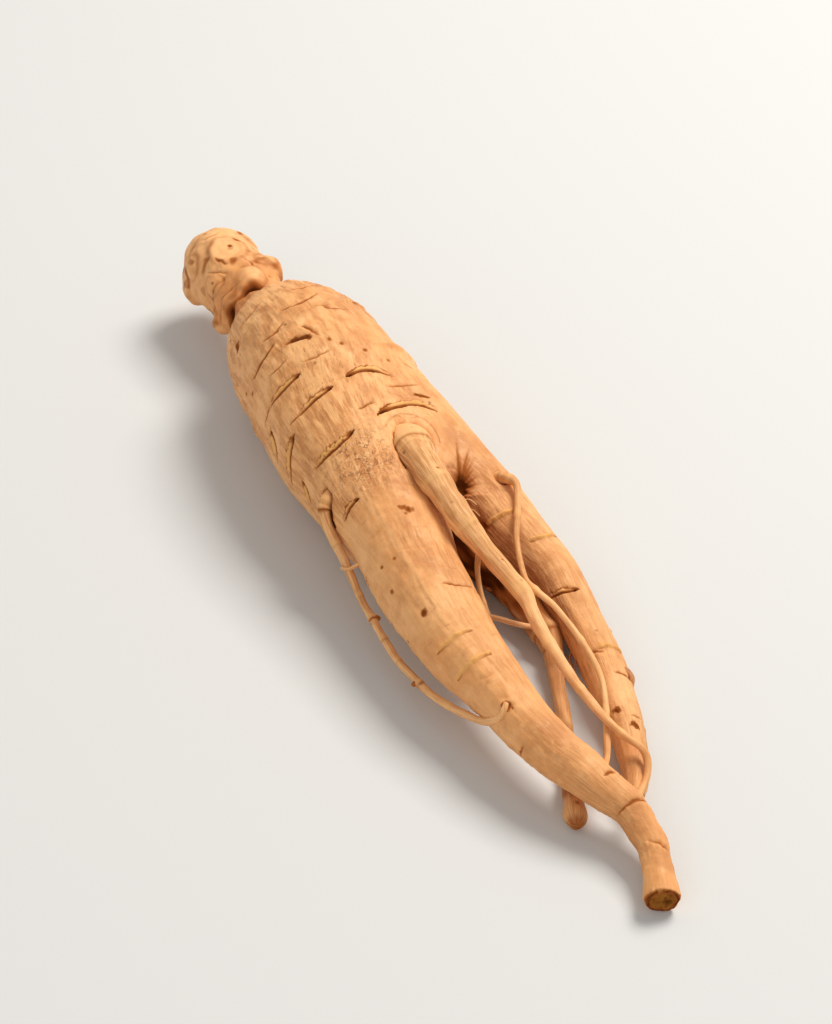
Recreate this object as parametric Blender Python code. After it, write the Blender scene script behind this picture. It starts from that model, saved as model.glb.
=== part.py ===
# Ginseng root, lying on its belly: head with stem scars, neck, body, two long legs,
# a thin third leg and the fine rootlets, all grown as one piece.
# +X runs from the head to the leg tips, +Z is up, and the root rests on z = 0.

import math

import bmesh
import bpy
import numpy as np
from mathutils import Matrix, Vector, noise

MM = 0.001

# Guide lines in millimetres: x, y, z of the centre, and the radius there.
# The main line is the head, neck and body, and it runs on as the longer leg to its cut end.
MAIN_LINE = [
    (-90.6, -2.5, 13.3, 4.2), (-89.2, -2.5, 13.3, 6.0), (-87, -2.5, 13.2, 7.2), (-83, -2.5, 13.2, 7.7),
    (-78.5, -2.5, 13.2, 7.5), (-75, -2.5, 13.1, 7.2), (-71.5, -2.6, 13.2, 7.0), (-68, -2.7, 13.4, 6.6),
    (-65.2, -2.8, 13.6, 6.3), (-63, -2.7, 13.8, 6.1), (-61.2, -2.6, 13.9, 7.2), (-59, -2.5, 14.1, 9.4),
    (-56, -2.3, 14.4, 11.6), (-52, -2, 14.6, 13.3), (-47.5, -1.8, 14.8, 14.5), (-41, -1.9, 14.9, 15.2),
    (-32.5, -2.6, 14.9, 15.5),
    (-25.5, -4, 14.5, 14.9), (-17.5, -5.5, 14.3, 13.9), (-8.5, -6.5, 14, 12.3), (0.5, -8, 13.5, 10.9),
    (8.5, -9, 13, 9.6), (16, -10, 12.5, 8.6), (23, -10.5, 12.3, 7.9), (35, -11, 11.5, 6.9),
    (43, -10.5, 11, 5.9), (50, -10, 10.5, 5.2), (56, -9.5, 10, 4.8), (63.5, -8, 9.4, 4.35),
    (68.5, -6, 8.7, 4.0), (73, -4.5, 8, 3.6), (77, -2.5, 7, 3.2), (79.5, -2, 6.3, 3.0),
    (82.5, -2, 5.5, 2.75), (85, -2, 4.9, 2.7), (88, -3, 4.1, 2.5), (91, -4, 3.4, 2.6),
    (93.5, -5, 3.0, 2.9), (95, -5.7, 2.85, 3.0)]
# The second leg leaves the body on the +Y side and lies down on the surface.
SECOND_LEG = [
    (-38, -1.5, 14.5, 13.6), (-31, 1, 14.3, 13.4), (-24, 3, 14, 12.2), (-16, 5.5, 13.5, 10.4),
    (-7.5, 8, 12.5, 8.7), (1.5, 11, 10.5, 7.1), (10.5, 12.5, 9, 6.0), (16, 13.5, 8, 5.5),
    (21.5, 14.5, 7, 5.0), (27.5, 14.5, 6, 4.5), (33.5, 14, 5, 4.1), (40.5, 13, 4.2, 4.0),
    (46, 12, 3.8, 4.0), (52, 10.5, 3.5, 3.6), (58, 9, 3.2, 3.2), (63.5, 7, 2.9, 2.7),
    (68, 5, 2.8, 2.1), (71, 3.5, 3.2, 1.8), (74, 1.5, 4.2, 1.4)]
# The web of flesh that fills the fork between the two legs, under the middle rootlet.
FORK_WEB = [
    (-26, 0, 14, 13), (-15, 1.5, 13.5, 11.8), (-6, 3, 12.8, 9.8), (0, 3.5, 12, 7.6), (4.5, 4, 11.5, 5)]
# The third leg starts between the other two and runs under the longer one.
THIRD_LEG = [
    (0, 5.5, 7, 5.0), (7, 6, 6, 4.5), (13, 7, 5.3, 3.9), (19.5, 8, 4.6, 3.3), (26, 8, 4.1, 3.0),
    (31, 8, 3.5, 2.6), (35, 7.5, 2.9, 2.0), (41, 5, 2.3, 1.45), (46, 3, 2.0, 1.3), (51, 1, 1.8, 1.25),
    (59.5, -3, 1.8, 1.4), (67, -6.5, 2.0, 1.9), (70.5, -8.3, 2.1, 2.3), (72.5, -9.2, 2.1, 1.9),
    (73.6, -9.7, 2.1, 0.9)]
# Rootlets: the tapered one in the middle, the one that leans on it, two thin ones and the side one.
MIDDLE_ROOTLET = [
    (-10.5, 1, 16.5, 3.0), (-8, 0.4, 20.5, 3.8), (-4, -0.4, 22.8, 3.8), (0.5, -0.9, 23.6, 3.25),
    (5, -1, 23.4, 3.1), (9.5, -1, 22.3, 2.85),
    (14.5, -1, 20.5, 2.5), (19, 0, 18.4, 2.2), (23, 1.7, 16.2, 1.8), (26.5, 3, 14.7, 1.6),
    (30.5, 4, 13.3, 1.55), (34.5, 3.5, 12.4, 1.45), (39.5, 3.2, 11.2, 1.35), (45, 3.2, 10.2, 1.25),
    (50.5, 3.3, 9.2, 1.1), (56, 3.6, 8.7, 0.95), (60.5, 4, 8.4, 0.8), (64.5, 5, 8, 0.7),
    (67, 6.5, 7.1, 0.68), (69, 6.6, 5.8, 0.65), (71.5, 5, 4.9, 0.65), (74, 2.4, 5, 0.65), (76.5, 0, 6, 0.65)]
LEANING_ROOTLET = [
    (2, 13, 14.5, 1.6), (3.8, 13.7, 16.3, 1.25), (5.7, 14.4, 17.4, 1.0), (7.2, 14.9, 17.3, 0.9),
    (9, 14.4, 16.6, 0.8), (11.5, 13, 15.8, 0.72), (14, 11.6, 15.2, 0.68), (17, 9.8, 14.4, 0.66),
    (20.5, 8.3, 13.8, 0.66), (24, 7, 13.6, 0.66), (27.5, 6, 13.5, 0.66), (30, 6.5, 13, 0.66),
    (34, 8, 12, 0.66), (38.5, 8.7, 10.8, 0.64), (42.5, 9, 9.9, 0.62), (47, 8.8, 9.2, 0.62),
    (51, 8, 8.7, 0.62), (55, 6.4, 7.9, 0.62), (58.5, 4.7, 7.2, 0.62), (62, 2.8, 6.9, 0.62),
    (66, 0.5, 7.2, 0.62), (70, -2.5, 8, 0.62)]
THIN_ROOTLET = [
    (19, 1.5, 18.8, 0.7), (19.3, 1, 15.8, 0.55), (20, 0.4, 12.6, 0.5), (21.5, 0, 9.9, 0.5),
    (23.7, -0.4, 8.2, 0.5), (27, -1, 7.2, 0.5), (31, -2.3, 7.2, 0.5), (35, -4, 8, 0.5), (39, -6, 9.5, 0.5)]
CROSS_ROOTLET = [
    (26.5, -1.2, 7.3, 0.5), (28, 0.8, 6.9, 0.5), (29.5, 3, 6.1, 0.5), (30.5, 5.5, 5.2, 0.5),
    (31, 8, 4.4, 0.5)]
SIDE_ROOTLET = [
    (-7, -10.5, 16, 2.0), (-5.5, -13.8, 15, 1.8), (-4, -16.8, 13, 1.5), (-1.5, -18.2, 11, 1.2),
    (2.5, -18.8, 9.4, 1.05), (7, -19, 8.2, 0.95), (11.5, -19.3, 7.2, 0.85), (16.5, -19.3, 6.2, 0.8),
    (22, -19.4, 5.6, 0.76), (28, -19.3, 5.4, 0.72), (34, -18.8, 5.6, 0.7), (39, -18.3, 6.1, 0.68),
    (44, -17, 6.8, 0.66), (48, -15.2, 7.8, 0.66), (50.5, -12.5, 9, 0.66)]

# Samples between two guide points, ring spacing along each line in millimetres, and sides round it.
GUIDE_SAMPLES = 24
MAIN_SIDES = 26
SECOND_SIDES = 18
WEB_SIDES = 14
THIRD_SIDES = 10
MIDDLE_SIDES = 10
SIDE_SIDES = 8
FINE_SIDES = 6
HEAD_STEP = 1.0
BODY_STEP = 1.4
LEG_STEP = 2.2
TIP_STEP = 1.5
ROOTLET_STEP = 2.0
HEAD_END_X = -58.0
BODY_END_X = 4.0
TIP_START_X = 74.0

# Root head: knobs left by old stems, as x, y, z and radius.
KNOBS = [(-74.8, 2.8, 15.6, 3.9), (-84.5, -6.3, 10.2, 4.6), (-70.8, -7.3, 10.5, 3.2), (-85.5, 1.6, 14.6, 4)]
STEM_SCAR_CENTRE = (-79.5, -2.2, 20.7)
STEM_SCAR_RADIUS = 3.2
STEM_SCAR_RIM = 0.5
STEM_SCAR_RIM_WIDTH = 1.0
STEM_SCAR_PIT = 1.5
STEM_SCAR_PIT_WIDTH = 1.4
# Collar rings on the neck, as x, height out of the skin and half width along x.
COLLARS = [(-72.6, -0.6, 0.8), (-70.2, 0.6, 0.9), (-68, -0.6, 0.7), (-65.9, 0.6, 0.8), (-63.2, -0.7, 0.9)]
HEAD_LUMP = 0.9
HEAD_LUMP_SIZE = 4.5
BODY_LUMP = 0.35
BODY_LUMP_SIZE = 9.0
# The head's lumps fade out, and the body's fade in, over this length.
LUMP_FADE = 6.0
COLLAR_WAVER = 0.5
COLLAR_WAVER_TURN = 9.0

# Scars of the main line: x, middle angle from the top, half angle, depth (raised when negative).
# A positive angle is on the +Y side.
MAIN_SCARS = [
    (-26.5, -48, 20, 1.2), (-19.7, -28, 17, 1.1), (-9, -35, 22, 1.3), (-23, 20, 16, -0.9),
    (-12.8, 36, 22, -0.9), (-34.7, -22, 12, 0.9), (-37, -53, 14, 0.9), (-16.5, -74, 20, 1.0),
    (-22.6, -88, 16, 0.9), (-11, -90, 14, 0.9), (3.6, -49, 15, 1.0), (27.5, 22, 20, 0.7),
    (37.8, -30, 32, -0.7), (42.8, -30, 34, -0.7), (71.5, 5, 30, 0.5), (78.7, 0, 180, 0.6),
    (86, 0, 180, 0.45), (-44, 48, 16, 0.9), (-30, 95, 22, 0.9), (-20, 150, 26, 0.9),
    (-47, -130, 24, 0.9), (-36, 130, 24, -0.7), (-4, -140, 24, 0.9), (14, -110, 22, 0.8),
    (31, -150, 26, 0.7), (52, 120, 30, 0.5), (60, -100, 30, 0.45), (-50, 10, 20, 0.8)]
SECOND_SCARS = [
    (9.7, -22, 45, 0.9), (17.2, 15, 32, -0.6), (28.2, -25, 40, 0.7), (43.2, -15, 28, 0.5),
    (50, 40, 25, -0.6), (22, 110, 40, 0.6), (38, 95, 40, 0.5), (58.5, 60, 60, 0.35)]
SCAR_HALF_WIDTH = 1.0
SCAR_EDGE = 8.0
# Shoulder wrinkles: rings part of the way round, closer together towards the neck.
WRINKLE_FIRST_X = -60.0
WRINKLE_FIRST_GAP = 2.7
WRINKLE_GAP_GROWTH = 0.072
WRINKLE_COUNT = 15
WRINKLE_TURN = 137.5
WRINKLE_HALF_ANGLE = 100.0
WRINKLE_EDGE = 40.0
WRINKLE_DEPTH = 0.25
WRINKLE_HALF_WIDTH = 0.8
# Low lengthwise ridges on body and legs.
RIDGES_ROUND = 7
RIDGE_HEIGHT = 0.18
RIDGE_TWIST = 0.05
LEG_STUB = {"at": (50.3, 13.9, 5.7), "radius": 1.2}

FLOOR_BLOCK = (260.0, 120.0, 30.0)
WELD_DISTANCE = 0.00001
SKIN_COLOUR = (0.72, 0.43, 0.22, 1.0)
SKIN_ROUGHNESS = 0.62
SMOOTH_UNDER = 50.0


def clear_scene():
    for old in list(bpy.data.objects):
        bpy.data.objects.remove(old, do_unlink=True)


def make_collection(name):
    group = bpy.data.collections.new(name)
    bpy.context.scene.collection.children.link(group)
    return group


def make_skin():
    skin = bpy.data.materials.new("root_skin")
    skin.use_nodes = True
    shader = skin.node_tree.nodes["Principled BSDF"]
    shader.inputs["Base Color"].default_value = SKIN_COLOUR
    shader.inputs["Roughness"].default_value = SKIN_ROUGHNESS
    shader.inputs["Metallic"].default_value = 0.0
    return skin


def through_points(points, fraction, index):
    """One point of the smooth curve through the guide points."""
    last = len(points) - 1
    before = points[index - 1] if index > 0 else 2 * points[0] - points[1]
    after = points[index + 2] if index + 2 <= last else 2 * points[last] - points[last - 1]
    start, end = points[index], points[index + 1]
    t = fraction
    return 0.5 * (2 * start + (end - before) * t + (2 * before - 5 * start + 4 * end - after) * t ** 2
                  + (3 * start - before - 3 * end + after) * t ** 3)


def smooth_line(guide, step_at):
    """The guide line as close points, with step_at(x) millimetres between them."""
    points = np.array(guide, dtype=float)
    dense = []
    for index in range(len(points) - 1):
        for fraction in np.linspace(0, 1, GUIDE_SAMPLES, endpoint=False):
            dense.append(through_points(points, fraction, index))
    dense.append(points[-1])
    dense = np.array(dense)
    kept = [dense[0]]
    run = 0.0
    for previous, point in zip(dense[:-1], dense[1:]):
        run += np.linalg.norm(point[:3] - previous[:3])
        if run >= step_at(point[0]):
            kept.append(point)
            run = 0.0
    if np.linalg.norm(kept[-1][:3] - dense[-1][:3]) < 0.5 * step_at(dense[-1][0]):
        kept.pop()
    kept.append(dense[-1])
    return np.array(kept)


def main_step(x):
    if x < HEAD_END_X:
        return HEAD_STEP
    if x < BODY_END_X:
        return BODY_STEP
    return LEG_STEP if x < TIP_START_X else TIP_STEP


def tube(name, line, sides, group):
    """A closed tube along the line, made from a bevelled curve with filled caps."""
    curve = bpy.data.curves.new(name + "_line", "CURVE")
    curve.dimensions = "3D"
    curve.bevel_depth = MM
    curve.bevel_resolution = (sides - 4) // 2
    curve.use_fill_caps = True
    curve.twist_mode = "Z_UP"
    spline = curve.splines.new("POLY")
    spline.points.add(len(line) - 1)
    for point, (x, y, z, radius) in zip(spline.points, line):
        point.co = (x * MM, y * MM, z * MM, 1.0)
        point.radius = radius
    holder = bpy.data.objects.new(name + "_line", curve)
    group.objects.link(holder)
    depsgraph = bpy.context.evaluated_depsgraph_get()
    mesh = bpy.data.meshes.new_from_object(holder.evaluated_get(depsgraph))
    solid = bpy.data.objects.new(name, mesh)
    solid.matrix_world = holder.matrix_world
    group.objects.link(solid)
    bpy.data.objects.remove(holder, do_unlink=True)
    weld(mesh)
    return solid


def weld(mesh):
    work = bmesh.new()
    work.from_mesh(mesh)
    bmesh.ops.remove_doubles(work, verts=work.verts, dist=WELD_DISTANCE)
    bmesh.ops.recalc_face_normals(work, faces=work.faces)
    work.to_mesh(mesh)
    work.free()


def knob(name, x, y, z, radius, group):
    """A rounded lump, sunk into the root by its place."""
    mesh = bpy.data.meshes.new(name)
    work = bmesh.new()
    bmesh.ops.create_icosphere(work, subdivisions=2, radius=radius * MM)
    bmesh.ops.translate(work, verts=work.verts, vec=(x * MM, y * MM, z * MM))
    work.to_mesh(mesh)
    work.free()
    solid = bpy.data.objects.new(name, mesh)
    group.objects.link(solid)
    return solid


def bump(distance, half_width):
    return math.exp(-(distance / half_width) ** 2)


def round_distance(angle, middle):
    return abs((angle - middle + 180.0) % 360.0 - 180.0)


def on_rings(scars, line):
    """The scars, each moved to the nearest ring of the tube, so that its groove is whole."""
    moved = []
    for scar_x, middle, half_angle, sink in scars:
        ring = int(np.argmin(np.abs(line[:, 0] - scar_x)))
        moved.append((line[ring][0], middle, half_angle, sink))
    return moved


def scar_depth(x, angle, scars):
    """How far the scars sink the skin at this place."""
    depth = 0.0
    for scar_x, middle, half_angle, sink in scars:
        away = round_distance(angle, middle)
        edge = min(1.0, max(0.0, (half_angle - away) / SCAR_EDGE + 0.5))
        depth += sink * edge * bump(x - scar_x, SCAR_HALF_WIDTH)
    return depth


def wrinkles(x, angle):
    """Broken rings on the shoulder and body, each over its own part of the way round."""
    height = 0.0
    for ring in range(WRINKLE_COUNT):
        ring_x = WRINKLE_FIRST_X + ring * (WRINKLE_FIRST_GAP + WRINKLE_GAP_GROWTH * ring)
        middle = (ring * WRINKLE_TURN) % 360.0
        away = round_distance(angle, middle)
        edge = min(1.0, max(0.0, (WRINKLE_HALF_ANGLE - away) / WRINKLE_EDGE))
        height -= WRINKLE_DEPTH * edge * bump(x - ring_x, WRINKLE_HALF_WIDTH)
    return height


def lump(place, height, size):
    return height * noise.noise(Vector(place) / size)


def main_relief(place, x, angle, scars):
    """Height of the skin of the main line over its smooth tube."""
    if x < HEAD_END_X:
        fade = min(1.0, (HEAD_END_X - x) / LUMP_FADE)
        height = fade * lump(place, HEAD_LUMP, HEAD_LUMP_SIZE)
        for ring_x, rise, half_width in COLLARS:
            waver = COLLAR_WAVER * math.sin(math.radians(2 * angle + COLLAR_WAVER_TURN * ring_x))
            height += rise * bump(x - ring_x - waver, half_width)
        away = (Vector(place) - Vector(STEM_SCAR_CENTRE)).length
        height += STEM_SCAR_RIM * bump(away - STEM_SCAR_RADIUS, STEM_SCAR_RIM_WIDTH)
        height -= STEM_SCAR_PIT * bump(away, STEM_SCAR_PIT_WIDTH)
        return height
    height = lump(place, BODY_LUMP, BODY_LUMP_SIZE) * min(1.0, (x - HEAD_END_X) / LUMP_FADE)
    if x < BODY_END_X:
        height += wrinkles(x, angle)
    height += RIDGE_HEIGHT * math.sin(math.radians(RIDGES_ROUND * angle) + RIDGE_TWIST * x)
    return height - scar_depth(x, angle, scars)


def second_relief(place, x, angle, scars):
    return lump(place, BODY_LUMP, BODY_LUMP_SIZE) - scar_depth(x, angle, scars)


def raise_skin(solid, line, relief, scars):
    """Moves each vertex of a tube in or out by the relief at its place."""
    centres = line[:, :3]
    last = len(centres) - 1
    scars = on_rings(scars, line)
    for vertex in solid.data.vertices:
        place = np.array(vertex.co) / MM
        ring = int(np.argmin(np.linalg.norm(centres - place, axis=1)))
        offset = place - centres[ring]
        if ring in (0, last) and np.linalg.norm(offset) < 0.5 * line[ring][3]:
            continue
        angle = math.degrees(math.atan2(offset[1], offset[2]))
        outward = Vector(offset).normalized()
        height = relief(tuple(place), centres[ring][0], angle, scars)
        vertex.co += outward * height * MM


def fuse(target, pieces):
    """Joins the pieces to the target as one solid and removes them."""
    for piece in pieces:
        modifier = target.modifiers.new("union", "BOOLEAN")
        modifier.operation = "UNION"
        modifier.solver = "EXACT"
        modifier.object = piece
        apply_stack(target)
        bpy.data.objects.remove(piece, do_unlink=True)


def apply_stack(target):
    depsgraph = bpy.context.evaluated_depsgraph_get()
    depsgraph.update()
    mesh = bpy.data.meshes.new_from_object(target.evaluated_get(depsgraph))
    target.modifiers.clear()
    target.data = mesh


def floor_block(group):
    """The cutter below the surface: it leaves the small flat spots that the root rests on."""
    mesh = bpy.data.meshes.new("floor_block")
    work = bmesh.new()
    bmesh.ops.create_cube(work, size=1.0)
    bmesh.ops.scale(work, verts=work.verts, vec=[side * MM for side in FLOOR_BLOCK])
    bmesh.ops.translate(work, verts=work.verts, vec=(0, 0, -0.5 * FLOOR_BLOCK[2] * MM))
    work.to_mesh(mesh)
    work.free()
    block = bpy.data.objects.new("floor_block", mesh)
    block.hide_render = True
    block.display_type = "WIRE"
    group.objects.link(block)
    return block


def cut_flat(target, block):
    modifier = target.modifiers.new("flat spots", "BOOLEAN")
    modifier.operation = "DIFFERENCE"
    modifier.solver = "EXACT"
    modifier.object = block


def centre_on_origin(target):
    """Puts the middle of the root's box over the origin, and keeps its height."""
    places = np.array([vertex.co for vertex in target.data.vertices])
    middle = 0.5 * (places.min(axis=0) + places.max(axis=0))
    target.data.transform(Matrix.Translation((-middle[0], -middle[1], 0)))


def build_root():
    clear_scene()
    parts = make_collection("ginseng_root_parts")
    cutters = make_collection("cutters")

    main_line = smooth_line(MAIN_LINE, main_step)
    root = tube("ginseng_root", main_line, MAIN_SIDES, parts)
    raise_skin(root, main_line, main_relief, MAIN_SCARS)

    second_line = smooth_line(SECOND_LEG, lambda x: LEG_STEP)
    second = tube("second_leg", second_line, SECOND_SIDES, parts)
    raise_skin(second, second_line, second_relief, SECOND_SCARS)

    branches = [second]
    rootlets = [
        ("fork_web", FORK_WEB, WEB_SIDES),
        ("third_leg", THIRD_LEG, THIRD_SIDES),
        ("middle_rootlet", MIDDLE_ROOTLET, MIDDLE_SIDES),
        ("leaning_rootlet", LEANING_ROOTLET, FINE_SIDES),
        ("thin_rootlet", THIN_ROOTLET, FINE_SIDES),
        ("cross_rootlet", CROSS_ROOTLET, FINE_SIDES),
        ("side_rootlet", SIDE_ROOTLET, SIDE_SIDES)]
    for name, guide, sides in rootlets:
        branches.append(tube(name, smooth_line(guide, lambda x: ROOTLET_STEP), sides, parts))
    for number, (x, y, z, radius) in enumerate(KNOBS):
        branches.append(knob("knob_%d" % number, x, y, z, radius, parts))
    branches.append(knob("leg_stub", *LEG_STUB["at"], LEG_STUB["radius"], parts))
    fuse(root, branches)
    cut_flat(root, floor_block(cutters))
    apply_stack(root)
    centre_on_origin(root)

    root.data.materials.clear()
    root.data.materials.append(make_skin())
    root.data.shade_smooth()
    root.data.set_sharp_from_angle(angle=math.radians(SMOOTH_UNDER))


build_root()
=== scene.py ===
import math
import random

import bpy
import numpy as np
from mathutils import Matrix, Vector, noise


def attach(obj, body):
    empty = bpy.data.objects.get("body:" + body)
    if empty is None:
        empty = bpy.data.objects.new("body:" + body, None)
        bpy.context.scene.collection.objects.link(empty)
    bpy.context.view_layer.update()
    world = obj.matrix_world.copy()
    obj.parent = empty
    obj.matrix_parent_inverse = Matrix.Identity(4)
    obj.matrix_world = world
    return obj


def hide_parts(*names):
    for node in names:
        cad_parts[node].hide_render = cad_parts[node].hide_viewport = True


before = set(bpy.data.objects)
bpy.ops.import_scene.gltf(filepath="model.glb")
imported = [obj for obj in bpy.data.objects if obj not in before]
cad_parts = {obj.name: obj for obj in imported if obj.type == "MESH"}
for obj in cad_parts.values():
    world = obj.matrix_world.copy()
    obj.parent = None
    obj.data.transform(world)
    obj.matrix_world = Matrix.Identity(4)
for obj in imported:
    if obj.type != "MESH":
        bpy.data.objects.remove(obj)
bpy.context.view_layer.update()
mm = 0.001
print("frame loaded")

# Everything below is drawn in millimetres with the head at -x, and then moved by this much,
# because the CAD root is centred over the origin.
shiftToFrame = np.array([-2.88, 0.40, 0.0])

# Guide lines: x, y, z of the middle and the radius there. They are the CAD root's own lines, but
# the rootlets are a little slimmer, and the side rootlet starts higher and ends over the leg.
mainLine = [
    (-90.6, -2.5, 13.3, 4.2), (-89.2, -2.5, 13.3, 6.0), (-87, -2.5, 13.2, 7.2), (-83, -2.5, 13.2, 7.7),
    (-78.5, -2.5, 13.2, 7.5), (-75, -2.5, 13.1, 7.2), (-71.5, -2.6, 13.2, 7.0), (-68, -2.7, 13.4, 6.6),
    (-65.2, -2.8, 13.6, 6.3), (-63, -2.7, 13.8, 6.1), (-61.2, -2.6, 13.9, 7.2), (-59, -2.5, 14.1, 9.4),
    (-56, -2.3, 14.4, 11.6), (-52, -2, 14.6, 13.3), (-47.5, -1.8, 14.8, 14.5), (-41, -1.9, 14.9, 15.2),
    (-32.5, -2.6, 14.9, 15.5), (-25.5, -4, 14.5, 14.9), (-17.5, -5.5, 14.3, 13.9),
    (-8.5, -6.5, 14, 12.3), (0.5, -8, 13.5, 10.9), (8.5, -9, 13, 9.6), (16, -10, 12.5, 8.6),
    (23, -10.5, 12.3, 7.9), (35, -11, 11.5, 6.9), (43, -10.5, 11, 5.9), (50, -10, 10.5, 5.2),
    (56, -9.5, 10, 4.8), (63.5, -8, 9.4, 4.35), (68.5, -6, 8.7, 4.0), (73, -4.5, 8, 3.6),
    (77, -2.5, 7, 3.2), (79.5, -2, 6.3, 3.0), (82.5, -2, 5.5, 2.75), (85, -2, 4.9, 2.7),
    (88, -3, 4.1, 2.5), (91, -4, 3.4, 2.6), (93.5, -5, 3.0, 2.9), (95, -5.7, 2.85, 3.0)]
secondLeg = [
    (-38, -1.5, 14.5, 13.6), (-31, 1, 14.3, 13.4), (-24, 3, 14, 12.2), (-16, 5.5, 13.5, 10.4),
    (-7.5, 8, 12.5, 8.7), (1.5, 11, 10.5, 7.1), (10.5, 12.5, 9, 6.0), (16, 13.5, 8, 5.5),
    (21.5, 14.5, 7, 5.0), (27.5, 14.5, 6, 4.5), (33.5, 14, 5, 4.1), (40.5, 13, 4.2, 4.0),
    (46, 12, 3.8, 4.0), (52, 10.5, 3.5, 3.6), (58, 9, 3.2, 3.2), (63.5, 7, 2.9, 2.7),
    (68, 5, 2.8, 2.1), (71, 3.5, 3.2, 1.8), (74, 1.5, 4.2, 1.4)]
forkWeb = [
    (-26, 0, 14, 13), (-15, 1.5, 13.5, 11.8), (-6, 3, 12.8, 9.8), (0, 3.5, 12, 7.6), (4.5, 4, 11.5, 5)]
thirdLeg = [
    (0, 5.5, 7, 5.0), (7, 6, 6, 4.5), (13, 7, 5.3, 3.9), (19.5, 8, 4.6, 3.3), (26, 8, 4.1, 3.0),
    (31, 8, 3.5, 2.6), (35, 7.5, 2.9, 2.0), (41, 5, 2.3, 1.45), (46, 3, 2.0, 1.3),
    (51, 1, 1.8, 1.25), (59.5, -3, 1.8, 1.4), (67, -6.4, 1.9, 1.65), (70.5, -8.0, 2.0, 2.0),
    (72.5, -8.9, 2.0, 1.65), (73.6, -9.5, 2.0, 0.8)]
middleRootlet = [
    (-10.5, 1, 16.5, 3.0), (-8, 0.4, 20.5, 3.8), (-4, -0.4, 22.8, 3.8), (0.5, -0.9, 23.6, 3.25),
    (5, -1, 23.4, 3.05), (9.5, -0.8, 22.4, 2.65), (14.5, -0.3, 20.7, 2.35), (19, 0.8, 18.5, 1.98),
    (23, 2.1, 16.2, 1.7), (26.5, 3.1, 14.7, 1.55), (30.5, 4, 13.3, 1.5), (34.5, 3.5, 12.4, 1.35),
    (39.5, 3.2, 11.2, 1.17), (45, 3.2, 10.2, 1.03), (50.5, 3.3, 9.2, 0.9), (56, 3.6, 8.7, 0.8),
    (60.5, 4, 8.4, 0.72), (64.5, 5, 8, 0.66), (67, 6.5, 7.1, 0.63), (69, 6.6, 5.8, 0.62),
    (71.5, 5, 4.9, 0.62), (74, 2.4, 5, 0.62), (76.5, 0, 6, 0.62)]
leaningRootlet = [
    (2, 13, 14.5, 1.5), (3.8, 13.7, 16.3, 1.1), (5.7, 14.4, 17.4, 0.86), (7.2, 14.9, 17.3, 0.76),
    (9, 14.4, 16.6, 0.68), (11.5, 13, 15.8, 0.62), (14, 11.6, 15.2, 0.59), (17, 9.8, 14.4, 0.58),
    (20.5, 8.3, 13.8, 0.58), (24, 7, 13.6, 0.58), (27.5, 6, 13.5, 0.58), (30, 6.5, 13, 0.58),
    (34, 8, 12, 0.58), (38.5, 8.7, 10.8, 0.57), (42.5, 9, 9.9, 0.56), (47, 8.8, 9.2, 0.56),
    (51, 8, 8.7, 0.56), (55, 6.4, 7.9, 0.56), (58.5, 4.7, 7.2, 0.56), (62, 2.8, 6.9, 0.56),
    (66, 0.5, 7.2, 0.56), (70, -2.5, 8, 0.56)]
thinRootlet = [
    (19, 1.5, 18.8, 0.7), (19.3, 1, 15.8, 0.55), (20, 0.4, 12.6, 0.5), (21.5, 0, 9.9, 0.5),
    (23.7, -0.4, 8.2, 0.5), (27, -1, 7.2, 0.5), (31, -2.3, 7.2, 0.5), (35, -4, 8, 0.5),
    (39, -6, 9.5, 0.5)]
crossRootlet = [
    (26.5, -1.2, 7.3, 0.5), (28, 0.8, 6.9, 0.5), (29.5, 3, 6.1, 0.5), (30.5, 5.5, 5.2, 0.5),
    (31, 8, 4.4, 0.5)]
sideRootlet = [
    (-7.5, -11, 17, 1.9), (-5.2, -14.6, 18.2, 1.5), (-3.2, -17.4, 18.1, 1.2), (-2.3, -18.7, 17, 1.1),
    (-0.9, -19.1, 15.7, 1.0), (0.8, -19.2, 14.4, 0.95), (3.6, -19, 12.7, 0.9), (6.4, -18.9, 11.2, 0.85),
    (9, -18.9, 9.7, 0.75), (12.2, -19.1, 8.4, 0.68), (15.2, -19.3, 7.6, 0.66), (18.2, -19.3, 7.2, 0.68),
    (20.8, -19.4, 6.7, 0.7), (24.8, -19.4, 5.9, 0.7), (28, -19.3, 5.4, 0.7), (34, -18.8, 5.6, 0.7),
    (39, -18.3, 6.1, 0.68), (44, -17, 6.8, 0.66), (47.5, -15.9, 7.6, 0.66), (51, -15.2, 9, 0.66),
    (53.6, -14.8, 11, 0.64), (55, -13.9, 12.6, 0.6), (54.6, -12.9, 13.9, 0.55), (53.9, -12.2, 14.3, 0.45)]


# Camera, light and floor

studio = {
    "target": (-0.00648, 0.0007, 0.008), "azimuth": 63.0, "elevation": 40.0, "distance": 0.52,
    "lens": 100.0, "sensor": 36.0,
    "floorColour": (0.66, 0.66, 0.645, 1.0), "floorSize": 6.0, "floorRoughness": 0.85, "floorGloss": 0.2,
    "lightTarget": (0, 0, 0.01),
    "worldColour": (1.0, 0.99, 0.97, 1.0), "worldStrength": 0.46,
    "keyAt": (-0.15, 0.6, 0.85), "keySize": 0.45, "keyPower": 10.8, "keyColour": (1.0, 0.97, 0.92),
    "fillAt": (0.55, -0.65, 0.55), "fillSize": 0.9, "fillPower": 2.1, "fillColour": (1.0, 0.98, 0.95)}


def deselectAll():
    bpy.ops.object.select_all(action="DESELECT")


def makeActive(thing):
    deselectAll()
    thing.select_set(True)
    bpy.context.view_layer.objects.active = thing


def aimAt(thing, target):
    thing.rotation_euler = (Vector(target) - thing.location).to_track_quat("-Z", "Y").to_euler()


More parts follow.
